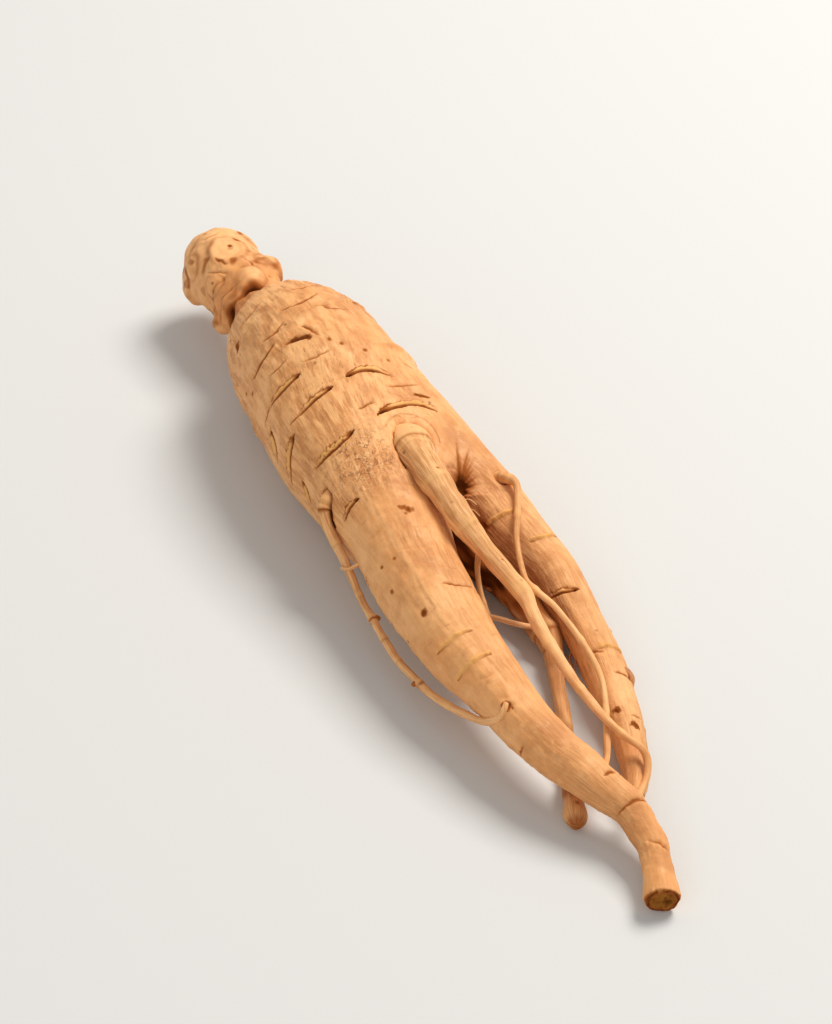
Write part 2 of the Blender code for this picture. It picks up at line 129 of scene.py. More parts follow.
def addSoftbox(name, place, size, power, colour):
    bpy.ops.object.light_add(type="AREA", location=place)
    light = bpy.context.object
    light.name = name
    light.data.size = size
    light.data.energy = power
    light.data.color = colour
    aimAt(light, studio["lightTarget"])


def makeStudio(s):
    azimuth = math.radians(s["azimuth"])
    elevation = math.radians(s["elevation"])
    back = Vector((math.sin(azimuth) * math.cos(elevation), -math.cos(azimuth) * math.cos(elevation),
                   math.sin(elevation)))
    bpy.ops.object.camera_add(location=Vector(s["target"]) + back * s["distance"])
    camera = bpy.context.object
    camera.data.lens = s["lens"]
    camera.data.sensor_width = s["sensor"]
    camera.data.clip_start = 0.01
    aimAt(camera, s["target"])
    bpy.context.scene.camera = camera

    bpy.ops.mesh.primitive_plane_add(size=s["floorSize"], location=(0, 0, 0))
    floor = bpy.context.object
    floor.name = "floor"
    paper = bpy.data.materials.new("paleFloor")
    paper.use_nodes = True
    shader = paper.node_tree.nodes["Principled BSDF"]
    shader.inputs["Base Color"].default_value = s["floorColour"]
    shader.inputs["Roughness"].default_value = s["floorRoughness"]
    shader.inputs["Specular IOR Level"].default_value = s["floorGloss"]
    floor.data.materials.append(paper)

    world = bpy.data.worlds.new("softRoom")
    world.use_nodes = True
    world.node_tree.nodes["Background"].inputs["Color"].default_value = s["worldColour"]
    world.node_tree.nodes["Background"].inputs["Strength"].default_value = s["worldStrength"]
    bpy.context.scene.world = world
    addSoftbox("keyLight", s["keyAt"], s["keySize"], s["keyPower"], s["keyColour"])
    addSoftbox("fillLight", s["fillAt"], s["fillSize"], s["fillPower"], s["fillColour"])
    bpy.context.scene.view_settings.view_transform = "Standard"


makeStudio(studio)
print("studio set")


# Lines and tubes

def smoothLine(guide, step):
    # even points on the curve through the guide, step millimetres apart
    points = np.array(guide, dtype=float)
    padded = np.vstack([2 * points[0] - points[1], points, 2 * points[-1] - points[-2]])
    dense = []
    for a, b, c, d in zip(padded, padded[1:], padded[2:], padded[3:]):
        for t in np.linspace(0, 1, 16, endpoint=False):
            dense.append(0.5 * (2 * b + (c - a) * t + (2 * a - 5 * b + 4 * c - d) * t ** 2
                                + (3 * b - a - 3 * c + d) * t ** 3))
    dense.append(points[-1])
    dense = np.array(dense)
    run = np.concatenate([[0.0], np.cumsum(np.linalg.norm(np.diff(dense[:, :3], axis=0), axis=1))])
    even = np.linspace(0.0, run[-1], max(3, int(round(run[-1] / step)) + 1))
    return np.stack([np.interp(even, run, dense[:, k]) for k in range(4)], axis=1)


def tubeAlong(name, line, sides):
    # a bevelled curve with filled caps, made a mesh and welded
    curve = bpy.data.curves.new(name, "CURVE")
    curve.dimensions = "3D"
    curve.bevel_depth = mm
    curve.bevel_resolution = (sides - 4) // 2
    curve.use_fill_caps = True
    curve.twist_mode = "Z_UP"
    spline = curve.splines.new("POLY")
    spline.points.add(len(line) - 1)
    for point, (x, y, z, radius) in zip(spline.points, line):
        point.co = (x * mm, y * mm, z * mm, 1.0)
        point.radius = radius
    tube = bpy.data.objects.new(name, curve)
    bpy.context.collection.objects.link(tube)
    makeActive(tube)
    bpy.ops.object.convert(target="MESH")
    tube = bpy.context.object
    bpy.ops.object.mode_set(mode="EDIT")
    bpy.ops.mesh.select_all(action="SELECT")
    bpy.ops.mesh.remove_doubles(threshold=0.000001)
    bpy.ops.mesh.normals_make_consistent(inside=False)
    bpy.ops.object.mode_set(mode="OBJECT")
    return tube


def getPlaces(thing):
    flat = np.empty(len(thing.data.vertices) * 3)
    thing.data.vertices.foreach_get("co", flat)
    return flat.reshape(-1, 3) / mm


def setPlaces(thing, places):
    thing.data.vertices.foreach_set("co", (places * mm).ravel())
    thing.data.update()


def paint(thing, name, values):
    # a number on each vertex, which the material reads
    layer = thing.data.attributes.get(name) or thing.data.attributes.new(name, "FLOAT", "POINT")
    layer.data.foreach_set("value", np.asarray(values, dtype=np.float32))


def paintVector(thing, name, values):
    layer = thing.data.attributes.get(name) or thing.data.attributes.new(name, "FLOAT_VECTOR", "POINT")
    layer.data.foreach_set("vector", np.asarray(values, dtype=np.float32).ravel())


def unit(vectors):
    return vectors / np.maximum(np.linalg.norm(vectors, axis=1), 1e-9)[:, None]


def bump(distance, halfWidth):
    return np.exp(-(distance / halfWidth) ** 2)


def ramp(value, low, high):
    t = np.clip((value - low) / (high - low), 0.0, 1.0)
    return t * t * (3 - 2 * t)


def noiseAt(places, size, offset=0.0):
    return np.array([noise.noise(place) for place in (places / size + offset).tolist()])


def wound(along, angle, girth):
    # places on an unrolled limb, without a seam: the angle is a point on a circle of radius girth
    radians = np.radians(angle)
    return np.stack([along, girth * np.cos(radians), girth * np.sin(radians)], axis=1)


def woundNoise(along, angle, girth, size, offset):
    return noiseAt(wound(along, angle, girth), size, offset)


def tubeField(places, line, rounding=0.8):
    # for each place: the distance to the tube's skin, the way out, x on the line, run, angle and
    # radius, how far past the nearest end it is, and the distance to the side alone
    centres = line[:, :3]
    nearest = np.empty(len(places), dtype=int)
    chunkSize = 4000
    for start in range(0, len(places), chunkSize):
        chunk = places[start:start + chunkSize]
        apart = (centres ** 2).sum(axis=1)[None] - 2 * chunk @ centres.T
        nearest[start:start + chunkSize] = apart.argmin(axis=1)
    steps = np.gradient(centres, axis=0)
    stepLength = np.linalg.norm(steps, axis=1)
    tangents = steps / stepLength[:, None]
    grow = np.gradient(line[:, 3]) / stepLength
    runs = np.concatenate([[0.0], np.cumsum(np.linalg.norm(np.diff(centres, axis=0), axis=1))])
    tangent = tangents[nearest]
    past = ((places - centres[nearest]) * tangent).sum(axis=1)
    last = len(line) - 1
    beyond = np.where(nearest == last, past, np.where(nearest == 0, -past, -1e3))
    slide = np.clip(past, -stepLength[nearest], stepLength[nearest])
    centre = centres[nearest] + tangent * np.where(beyond > 0, past, slide)[:, None]
    offset = places - centre
    reach = np.linalg.norm(offset, axis=1)
    radius = line[nearest, 3] + np.where(beyond > 0, 0.0, slide * grow[nearest])
    side = reach - radius
    outSide = unit(offset)
    outEnd = tangent * np.where(nearest == 0, -1.0, 1.0)[:, None]
    share = np.clip(0.5 + 0.5 * (beyond - side) / rounding, 0.0, 1.0)
    distance = side * (1 - share) + np.maximum(beyond, -50) * share + rounding * share * (1 - share)
    way = unit(outSide * (1 - share)[:, None] + outEnd * share[:, None])
    angle = np.degrees(np.arctan2(offset[:, 1], offset[:, 2]))
    return {"distance": distance, "way": way, "x": centre[:, 0], "run": runs[nearest] + slide,
            "angle": angle, "radius": radius, "beyond": beyond, "side": side}


def joinSoftly(a, b, soft):
    # two distances as one with a fillet where they meet at an angle, the way out, and a's share
    meet = 1 - (a["way"] * b["way"]).sum(axis=1)
    fillet = soft * np.clip(meet / 0.7, 0.04, 1.0)
    share = np.clip(0.5 + 0.5 * (b["distance"] - a["distance"]) / fillet, 0.0, 1.0)
    distance = b["distance"] * (1 - share) + a["distance"] * share - fillet * share * (1 - share)
    way = unit(b["way"] * (1 - share)[:, None] + a["way"] * share[:, None])
    wide = np.clip(0.5 + 0.5 * (b["distance"] - a["distance"]) / (1.6 * soft), 0.0, 1.0)
    return {"distance": distance, "way": way}, wide


# Marks on the skin: slits, raised flaps and arcs, creases and dots. Each has a kind, the points
# (x, angle from the top, positive to the second leg's side) that it runs through, and a half width.

mainMarks = [
    # slits, flaps and creases of the trunk, and a dot between two flaps
    ("slit", [(-26.8, -31), (-26.5, -46), (-26.2, -66)], 0.5),
    ("crease", [(-26.2, -63), (-25.6, -78)], 0.28),
    ("slit", [(-23.0, -75), (-20.8, -82), (-18.7, -90)], 0.9),
    ("slit", [(-20.2, -13), (-19.8, -28), (-18.9, -45)], 0.5),
    ("crease", [(-18.9, -42), (-18.8, -55)], 0.25),
    ("slit", [(-16.9, -57), (-15.8, -74), (-13.9, -96)], 0.65),
    ("rough", [(-9.8, -14), (-8.9, -33), (-8.5, -60)], 0.68),
    ("slit", [(-10.6, -80), (-8.2, -88), (-5.8, -98)], 0.7),
    ("flap", [(-21.8, 0), (-23.5, 17), (-23.3, 38)], 0.62),
    ("flap", [(-12.0, 12), (-14.9, 36), (-15.0, 52), (-12.9, 66)], 0.6),
    ("dot", [(-18.4, 51), (-18.0, 57)], 0.5),
    ("crease", [(-14.8, 12), (-13.7, -2)], 0.3),
    ("crease", [(-19.6, 30), (-20.9, 43), (-21.8, 54)], 0.25),
    ("crease", [(-33.9, -14), (-34.6, -21), (-35.4, -31)], 0.62),
    ("crease", [(-37.6, -15), (-36.2, -12), (-33.2, -8)], 0.34),
    ("crease", [(-37.4, -38), (-36.6, -51), (-36.6, -66)], 0.5),
    ("crease", [(-36.4, 38), (-34.8, 56)], 0.45),
    ("crease", [(-28.4, 50), (-26.4, 68)], 0.35),
    # the main leg
    ("slit", [(3.2, -37), (3.0, -50), (4.0, -64)], 0.42),
    ("crease", [(27.0, 1), (27.6, 24), (27.9, 48)], 0.3),
    ("arc", [(37.5, -62), (37.9, -29), (38.0, 4)], 0.42),
    ("arc", [(43.2, -72), (43.6, -35), (43.5, 8)], 0.42),
    ("dot", [(8.7, -2), (8.9, 2)], 0.36),
    ("dot", [(9.5, 5)], 0.5),
    ("dot", [(9.5, 10)], 0.26),
    ("dot", [(10.2, 1)], 0.2),
    ("dot", [(30.6, -41)], 0.6),
    ("dot", [(22.4, -62)], 0.32),
    ("dot", [(17.4, -54)], 0.28),
    ("dot", [(18.1, -34)], 0.26),
    ("dot", [(53.9, -33)], 0.85),
    # dots on the shoulder and trunk, the leg's long ridge and faint creases of the shoulder
    ("dot", [(-49.8, -64), (-48.6, -67)], 0.5),
    ("dot", [(-33.9, -15), (-34.6, -20), (-35.2, -26)], 0.55),
    ("dot", [(-30.5, 4)], 0.3),
    ("dot", [(-31.7, -3)], 0.28),
    ("dot", [(-28.9, 19)], 0.34),
    ("dot", [(-27.8, 37)], 0.34),
    ("dot", [(-37.9, -82)], 0.3),
    ("dot", [(-34.7, -74)], 0.36),
    ("ridge", [(2.0, -28), (11.2, -23), (22.5, -22), (36.0, -25)], 0.8),
    ("crease", [(-51.8, -54), (-51.4, -38), (-52.4, -18)], 0.22),
    ("crease", [(-45.0, -20), (-44.4, -6), (-46.5, 12)], 0.34),
    # creases on the head, and the middle of its stem scar
    ("crease", [(-78.4, -28), (-77.0, -24), (-75.4, -19)], 0.34),
    ("crease", [(-75.3, 12), (-73.8, 17), (-72.2, 15)], 0.38),
    ("crease", [(-77.4, -52), (-75.2, -38), (-73.0, -27)], 0.2),
    ("crease", [(-85.2, -28), (-84.6, -14), (-85.0, 2)], 0.16),
    ("dot", [(-80.0, 3)], 0.45),
    # the tip, and short creases of the trunk
    ("crease", [(78.1, -80), (78.3, 8), (79.4, 80)], 0.3),
    ("crease", [(85.4, -30), (86.3, 20), (86.9, 60)], 0.22),
    ("crease", [(72.8, 0), (73.2, 44)], 0.35),
    ("crease", [(-41.0, -44), (-40.4, -34), (-41.4, -24)], 0.3),
    ("crease", [(-42.2, 2), (-40.6, 12), (-40.2, 24)], 0.26),
    ("crease", [(-31.8, -36), (-31.2, -44), (-31.6, -52)], 0.26),
    ("crease", [(-29.4, -6), (-28.8, -16), (-29.0, -26)], 0.24),
    # sides that the camera doesn't see
    ("slit", [(-30.5, 98), (-30.0, 114), (-29.2, 133)], 0.5),
    ("slit", [(-20.6, 130), (-20.0, 150), (-19.3, 172)], 0.5),
    ("slit", [(-47.5, -152), (-47.0, -130), (-46.2, -108)], 0.5),
    ("flap", [(-36.4, 108), (-36.0, 130), (-35.2, 152)], 0.8),
    ("rough", [(-4.6, -162), (-4.0, -140), (-3.4, -118)], 0.7),
    ("slit", [(13.7, -130), (14.0, -110), (14.5, -90)], 0.5),
    ("crease", [(30.6, -174), (31.0, -150), (31.6, -126)], 0.35),
    ("arc", [(51.6, 92), (52.0, 120), (52.4, 148)], 0.4),
    ("crease", [(59.8, -128), (60.0, -100), (60.4, -72)], 0.3),
    # two more creases of the shoulder
    ("crease", [(-50.4, -10), (-50.0, 10), (-50.6, 28)], 0.25),
    ("crease", [(-44.3, 34), (-44.0, 48), (-43.4, 62)], 0.3)]
secondMarks = [
    ("arc", [(10.4, 10), (9.8, -23), (9.1, -58)], 0.42),
    ("crease", [(7.4, -62), (9.1, -56)], 0.35),
    ("arc", [(16.6, -18), (17.4, 17), (17.0, 54)], 0.4),
    ("slit", [(29.3, 10), (28.5, -28), (27.8, -66)], 0.45),
    ("arc", [(42.7, -10), (43.1, 23), (43.5, 58)], 0.36),
    ("crease", [(42.8, -40), (43.9, -3)], 0.32),
    ("crease", [(48.9, 8), (49.4, 40), (49.9, 70)], 0.35),
    ("dot", [(56.6, -30), (56.9, -24)], 0.5),
    ("dot", [(60.2, 12), (60.6, 22)], 0.5),
    ("slit", [(21.8, 80), (22.0, 110), (22.4, 140)], 0.5),
    ("arc", [(37.8, 62), (38.0, 95), (38.4, 128)], 0.38),
    ("crease", [(58.3, 10), (58.5, 60), (58.9, 110)], 0.25)]


curveSteps = 40


def markCurve(points, radius):
    # the mark's middle line on the unrolled skin: x and arc length round it, in millimetres
    ends = np.array([(x, math.radians(angle) * radius) for x, angle in points], dtype=float)
    if len(ends) == 1:
        return ends
    along = np.linspace(0, 1, len(ends))
    fine = np.linspace(0, 1, curveSteps)
    degree = min(len(ends) - 1, 2)
    fitX = np.polyfit(along, ends[:, 0], degree)
    fitArc = np.polyfit(along, ends[:, 1], degree)
    return np.stack([np.polyval(fitX, fine), np.polyval(fitArc, fine)], axis=1)


def markPlaces(field, points, line, margin):
    # the vertices near one mark, with how far along it and how far to its +x side they are
    middleX = np.mean([x for x, angle in points])
    middleAngle = np.mean([angle for x, angle in points])
    radius = float(np.interp(middleX, line[:, 0], line[:, 3]))
    curve = markCurve(points, radius)
    turn = (field["angle"] - middleAngle + 180) % 360 - 180
    arc = np.radians(turn + middleAngle) * radius
    box = ((field["x"] > curve[:, 0].min() - margin) & (field["x"] < curve[:, 0].max() + margin)
           & (arc > curve[:, 1].min() - margin) & (arc < curve[:, 1].max() + margin)
           & (np.abs(field["distance"]) < 4.0))
    chosen = np.nonzero(box)[0]
    spots = np.stack([field["x"][chosen], arc[chosen]], axis=1)
    apart = np.linalg.norm(spots[:, None] - curve[None], axis=2)
    if len(curve) == 1:
        return chosen, np.full(len(chosen), 0.5), apart[:, 0], apart[:, 0]
    nearest = apart.argmin(axis=1)
    ahead = np.gradient(curve, axis=0)
    ahead = ahead / np.linalg.norm(ahead, axis=1)[:, None]
    away = spots - curve[nearest]
    aheadHere = ahead[nearest]
    side = aheadHere[:, 1] * away[:, 0] - aheadHere[:, 0] * away[:, 1]
    if ahead[curveSteps // 2][1] < 0:
        side = -side
    return chosen, nearest / (curveSteps - 1), side, apart.min(axis=1)


def dotMark(near, halfWidth):
    # a brown spot: larger ones are darker, and one with several points is the most ragged
    spread = np.stack([near["x"], np.radians(near["angle"]) * 8, near["reach"]], axis=1)
    blot = noiseAt(spread, 0.6, 2.7)
    ragged = 0.9 if near["points"] > 1 else 0.45
    dark = 0.58 if halfWidth < 0.45 else 0.72
    spot = ramp(halfWidth * (0.95 + ragged * blot) - near["reach"], -0.5, 0.35)
    return {"depth": 0.07 * spot, "crackAndShade": dark * spot}


def ridgeMark(near, halfWidth):
    # a low pale ridge
    here = (0.3 + 0.7 * near["taper"]) * near["inside"]
    return {"depth": -0.2 * bump(near["side"], halfWidth) * here,
            "pale": 0.5 * bump(near["side"] - 0.1, 0.8 * halfWidth) * here}


def creaseMark(near, halfWidth):
    # a groove with a low swelling on its tip side
    here = (0.35 + 0.65 * near["taper"]) * near["inside"]
    groove = bump(near["side"], 0.26 + 0.35 * halfWidth) * here
    swelling = bump(near["side"] - 0.8, 0.5) * here
    dark = np.clip(0.1 + 1.4 * halfWidth, 0, 0.85)
    return {"depth": (0.12 + 0.55 * halfWidth) * groove - 0.12 * swelling,
            "crackAndShade": dark * bump(near["side"], 0.17 + 0.4 * halfWidth) * here}


def arcMark(near, halfWidth):
    # a step in the skin with a thin pale edge and a thin dark line below it
    side = near["side"]
    here = (0.25 + 0.75 * near["taper"]) * near["inside"]
    step = ramp(side, -0.05, 0.25) * ramp(3.0 - side, 0.0, 2.6) * here
    darkEnds = 0.2 + 0.8 * (2 * near["along"] - 1) ** 2
    line = darkEnds * bump(side - 0.3, 0.14 + 0.05 * near["rag"]) * near["inside"]
    return {"depth": 0.26 * step - 0.26 * bump(side + 0.12, 0.28) * here,
            "crackAndShade": 0.5 * line + 0.1 * bump(side - 0.7, 0.6) * here,
            "lip": 0.85 * bump(side + 0.05, 0.3) * here}


def lensMark(near, halfWidth, raised, upperDark, tail):
    # a pale lens with a dark line on its tip side and a dark upper end
    side = near["side"]
    along = near["along"]
    taper = near["taper"]
    inside = near["inside"]
    edge = halfWidth * taper * (0.9 + 0.5 * near["rag"])
    here = inside * (0.25 + 0.75 * taper)
    within = ramp(edge + 0.06 - np.abs(side + 0.05), 0.0, 0.22) * ramp(tail - along, 0.0, 0.15) * inside
    upper = bump(side + edge + 0.1, 0.13) * here
    lower = bump(side - edge, 0.15 + 0.1 * taper) * here
    upEnd = ramp(0.26 - along, 0.0, 0.2) * bump(side, 0.16 + 0.6 * edge) * inside
    swelling = raised * within * (1 - 0.7 * ramp(0.3 - along, 0.0, 0.2))
    return {"depth": 0.4 * lower + 0.22 * upper + 0.3 * upEnd - swelling,
            "crackAndShade": 0.85 * lower + upperDark * upper + 0.8 * upEnd,
            "lip": 0.85 * within * (1 - 0.8 * lower) * (0.8 + 0.4 * near["rag"]), "within": within}


def slitMark(near, halfWidth):
    return lensMark(near, halfWidth, raised=0.0, upperDark=0.5, tail=0.82)


def flapMark(near, halfWidth):
    return lensMark(near, halfWidth, raised=0.16, upperDark=0.75, tail=0.82)


def roughMark(near, halfWidth):
    # a slit whose lens runs on to its lower end and has dark flakes in it
    mark = lensMark(near, halfWidth, raised=0.06, upperDark=0.5, tail=0.98)
    flakes = noiseAt(np.stack([near["x"], near["side"], near["along"] * 9], axis=1), 0.5, 3.1)
    flakes = ramp(flakes, 0.12, 0.42) * mark["within"]
    mark["depth"] += 0.22 * flakes
    mark["crackAndShade"] += 0.34 * flakes
    return mark


markKinds = {"dot": dotMark, "ridge": ridgeMark, "crease": creaseMark, "arc": arcMark,
             "slit": slitMark, "flap": flapMark, "rough": roughMark}
markSettings = {"margin": 2.6, "wander": 0.22, "endReach": 0.3}


def addMarks(field, marks, line, wobble, skin):
    # the height, the dark crack colour (cracks and painted shade), and the lip and pale colours of all the
    # marks on one limb
    for kind, points, halfWidth in marks:
        chosen, along, side, reach = markPlaces(field, points, line, markSettings["margin"])
        if len(chosen) == 0:
            continue
        near = {"along": along, "reach": reach, "rag": wobble[chosen], "points": len(points),
                "side": side + markSettings["wander"] * wobble[chosen],
                "taper": np.sqrt(np.clip(1 - (2 * along - 1) ** 2, 0, 1)),
                "inside": ((along > 0) & (along < 1)) | (reach < markSettings["endReach"]),
                "x": field["x"][chosen], "angle": field["angle"][chosen]}
        mark = markKinds[kind](near, halfWidth)
        skin["height"][chosen] -= mark["depth"]
        skin["pale"][chosen] += mark.get("pale", 0.0)
        for colour in ("crackAndShade", "lip"):
            skin[colour][chosen] = np.maximum(skin[colour][chosen], mark.get(colour, 0.0))


def besideMarks(field, marks, line, reachLimit):
    near = np.zeros(len(field["x"]), dtype=bool)
    for mark in marks:
        chosen, along, side, reach = markPlaces(field, mark[1], line, reachLimit)
        near[chosen[reach < reachLimit]] = True
    return near


# Body: head, neck, trunk and the two long legs as one skin

body = {
    "voxel": 0.88, "sides": 64, "ringGap": 0.8, "smoothTurns": 5,
    # where the faces are split once and twice: the side that is seen, reaches from the marks, the
    # neck's x and a ball round the hollow
    "seenFrom": (0.683, -0.348, 0.643), "seenOnce": 0.14, "seenTwice": 0.0, "markReachOnce": 0.9,
    "markReachTwice": 0.62, "neckOnce": -60, "neckTwice": -62, "hollowBall": 6.5,
    # fillet between the limbs, in millimetres, by x
    "filletX": (-40, 2, 12, 26), "fillet": (6.0, 5.0, 2.6, 1.2),
    "knobs": [(-74.8, 2.8, 15.6, 3.9), (-84.5, -6.3, 10.2, 4.6), (-70.8, -7.3, 10.5, 3.2),
              (-85.5, 1.6, 14.6, 4)],
    "knobFillet": 3.0,
    # folds of the neck: x, middle angle, half angle, height and half width
    "folds": [(-72.6, -70, 60, -0.4, 0.8), (-70.6, -75, 70, 0.35, 1.0), (-69.0, -68, 60, -0.45, 0.5),
              (-67.6, -40, 95, 0.4, 0.8), (-64.0, -45, 95, 0.3, 1.0), (-71.5, 120, 80, -0.4, 0.7),
              (-68.6, 110, 90, 0.4, 0.9), (-66.6, 130, 75, -0.5, 0.6), (-76.8, 170, 80, -0.4, 0.8),
              (-82.5, 140, 60, -0.3, 0.9)],
    "gap": -66.1,
    # stem scars on the head: middle, radius, rim height and depth of the middle
    "stemScars": [((-79.3, -3.0, 20.7), 3.3, 0.28, 0.3), ((-85.5, -10.6, 10.8), 2.4, 0.12, 0.15),
                  ((-74.0, 6.5, 16.4), 2.2, 0.15, 0.2), ((-90.8, -2.2, 13.3), 3.4, 0.3, 0.6),
                  ((-86.4, 5.2, 16.6), 2.3, 0.15, 0.3), ((-80.5, -1.8, 5.6), 3.0, 0.3, 0.5)],
    # soft lumps: middle, radius, height and paleness
    "lumps": [((-69.6, -2.0, 20.2), 2.7, 0.9, 0.6), ((-74.8, 3.4, 18.6), 2.2, 0.2, 0.6),
              ((-73.8, -8.6, 16.8), 2.2, 0.5, 0.2), ((-83.0, -8.8, 15.5), 2.4, 0.4, 0.1)],
    # the hollow by the middle rootlet, how far its wrinkles reach in x and y, and the gap below it
    "hollow": (3.2, 5.9, 16.8), "gapBeside": [(7.0, 4.6, 14.6), (11.0, 6.0, 12.0)],
    "spokes": [(-10.4, 4.2), (-7.4, 5.9), (-6.3, 3.0), (-5.2, 4.9), (-4.2, 5.2), (-2.5, 4.4), (-0.6, 4.4),
               (0.9, 3.6), (3.5, -0.3), (3.4, 1.6)],
    # lengthwise ridges: limb, length, turns round the limb, noise offset and rise
    "ridges": [("main", 24, 1.5, 3.0, 0.3), ("main", 12, 4.5, 8.0, 0.13), ("second", 16, 1.6, 6.0, 0.26),
               ("second", 9, 4.5, 2.0, 0.1)],
    "broadLumps": [(9.0, 1.0, 0.18), (2.2, 4.0, 0.07)],  # size, noise offset and rise
    # seams where rootlets leave the skin, with painted shade: rootlet, run from and to, strength of the
    # painted shade and a dark arch above it
    "crevices": [("middle", 5.0, 15.0, 0.9, 0.32), ("side", 4.0, 14.0, 0.8, 0.0),
                 ("leaning", 1.0, 5.0, 0.6, 0.0)],
    "fineCreases": 150, "seed": 11, "tipX": 90, "cutDepth": 0.25,
    "girth": {"main": 8.0, "second": 6.0}}  # radius round which the limb's pattern is wound


def spheresField(places, spheres):
    best = {"distance": np.full(len(places), 1e3), "way": np.zeros_like(places)}
    for x, y, z, radius in spheres:
        offset = places - np.array([x, y, z])
        distance = np.linalg.norm(offset, axis=1) - radius
        closer = distance < best["distance"]
        best["distance"] = np.where(closer, distance, best["distance"])
        best["way"] = np.where(closer[:, None], unit(offset), best["way"])
    return best


bodyLines = {"main": smoothLine(mainLine, 0.5), "second": smoothLine(secondLeg, 0.5),
             "web": smoothLine(forkWeb, 0.5), "middle": smoothLine(middleRootlet, 0.5),
             "side": smoothLine(sideRootlet, 0.5), "leaning": smoothLine(leaningRootlet, 0.5)}


def bodyField(places):
    # the limbs joined with fillets, and each limb's own coordinates
    main = tubeField(places, bodyLines["main"])
    second = tubeField(places, bodyLines["second"])
    web = tubeField(places, bodyLines["web"])
    soft = np.interp(places[:, 0], body["filletX"], body["fillet"])
    fork = joinSoftly(second, web, soft)[0]
    whole, mainShare = joinSoftly(main, fork, soft)
    knobs = spheresField(places, body["knobs"])
    whole = joinSoftly(whole, knobs, body["knobFillet"])[0]
    return whole, main, second, mainShare


def settle(places, turns):
    # moves each place onto the joined limbs' skin
    for turn in range(turns):
        whole = bodyField(places)[0]
        places = places - whole["way"] * whole["distance"][:, None]
    return places


def roughBody(b):
    tubes = []
    for name, guide in (("main", mainLine), ("second", secondLeg), ("web", forkWeb)):
        tubes.append(tubeAlong(name, smoothLine(guide, b["ringGap"]), b["sides"]))
    for x, y, z, radius in b["knobs"]:
        bpy.ops.mesh.primitive_uv_sphere_add(segments=32, ring_count=16, radius=radius * mm,
                                             location=(x * mm, y * mm, z * mm))
        tubes.append(bpy.context.object)
    deselectAll()
    for tube in tubes:
        tube.select_set(True)
    bpy.context.view_layer.objects.active = tubes[0]
    bpy.ops.object.join()
    bpy.ops.object.transform_apply(location=True, rotation=True, scale=True)
    skin = bpy.context.object
    skin.name = "rootBody"
    remesh = skin.modifiers.new("oneSkin", "REMESH")
    remesh.mode = "VOXEL"
    remesh.voxel_size = b["voxel"] * mm
    bpy.ops.object.modifier_apply(modifier=remesh.name)
    relax = skin.modifiers.new("relax", "SMOOTH")
    relax.factor = 0.5
    relax.iterations = b["smoothTurns"]
    bpy.ops.object.modifier_apply(modifier=relax.name)
    return skin


def refineWhere(skin, near):
    # splits each face that has a chosen vertex into four
    corners = np.empty(len(skin.data.loops), dtype=int)
    skin.data.loops.foreach_get("vertex_index", corners)
    starts = np.empty(len(skin.data.polygons), dtype=int)
    skin.data.polygons.foreach_get("loop_start", starts)
    chosen = np.logical_or.reduceat(near[corners], starts)
    makeActive(skin)
    bpy.ops.object.mode_set(mode="EDIT")
    bpy.ops.mesh.select_mode(type="FACE")
    bpy.ops.mesh.select_all(action="DESELECT")
    bpy.ops.object.mode_set(mode="OBJECT")
    skin.data.polygons.foreach_set("select", chosen)
    bpy.ops.object.mode_set(mode="EDIT")
    bpy.ops.mesh.subdivide(number_cuts=1)
    bpy.ops.object.mode_set(mode="OBJECT")


def nearMarks(main, second, mainShare, reach):
    near = besideMarks(main, mainMarks, bodyLines["main"], reach) & (mainShare > 0.3)
    return near | (besideMarks(second, secondMarks, bodyLines["second"], reach) & (mainShare < 0.7))


def facingView(whole, b):
    return (whole["way"] * np.array(b["seenFrom"])).sum(axis=1)


def refineSkin(skin, b):
    # smaller faces where the camera looks and by the marks, and smaller still on head and marks there
    places = getPlaces(skin)
    whole, main, second, mainShare = bodyField(places)
    fine = nearMarks(main, second, mainShare, b["markReachOnce"]) | (facingView(whole, b) > b["seenOnce"])
    refineWhere(skin, fine | (places[:, 0] < b["neckOnce"]))
    places = settle(getPlaces(skin), 1)
    setPlaces(skin, places)
    whole, main, second, mainShare = bodyField(places)
    finest = nearMarks(main, second, mainShare, b["markReachTwice"]) | (places[:, 0] < b["neckTwice"])
    finest |= np.linalg.norm(places - np.array(b["hollow"]), axis=1) < b["hollowBall"]
    refineWhere(skin, finest & (facingView(whole, b) > b["seenTwice"]))
    makeActive(skin)
    bpy.ops.object.mode_set(mode="EDIT")
    bpy.ops.mesh.select_all(action="SELECT")
    bpy.ops.mesh.quads_convert_to_tris()
    bpy.ops.object.mode_set(mode="OBJECT")


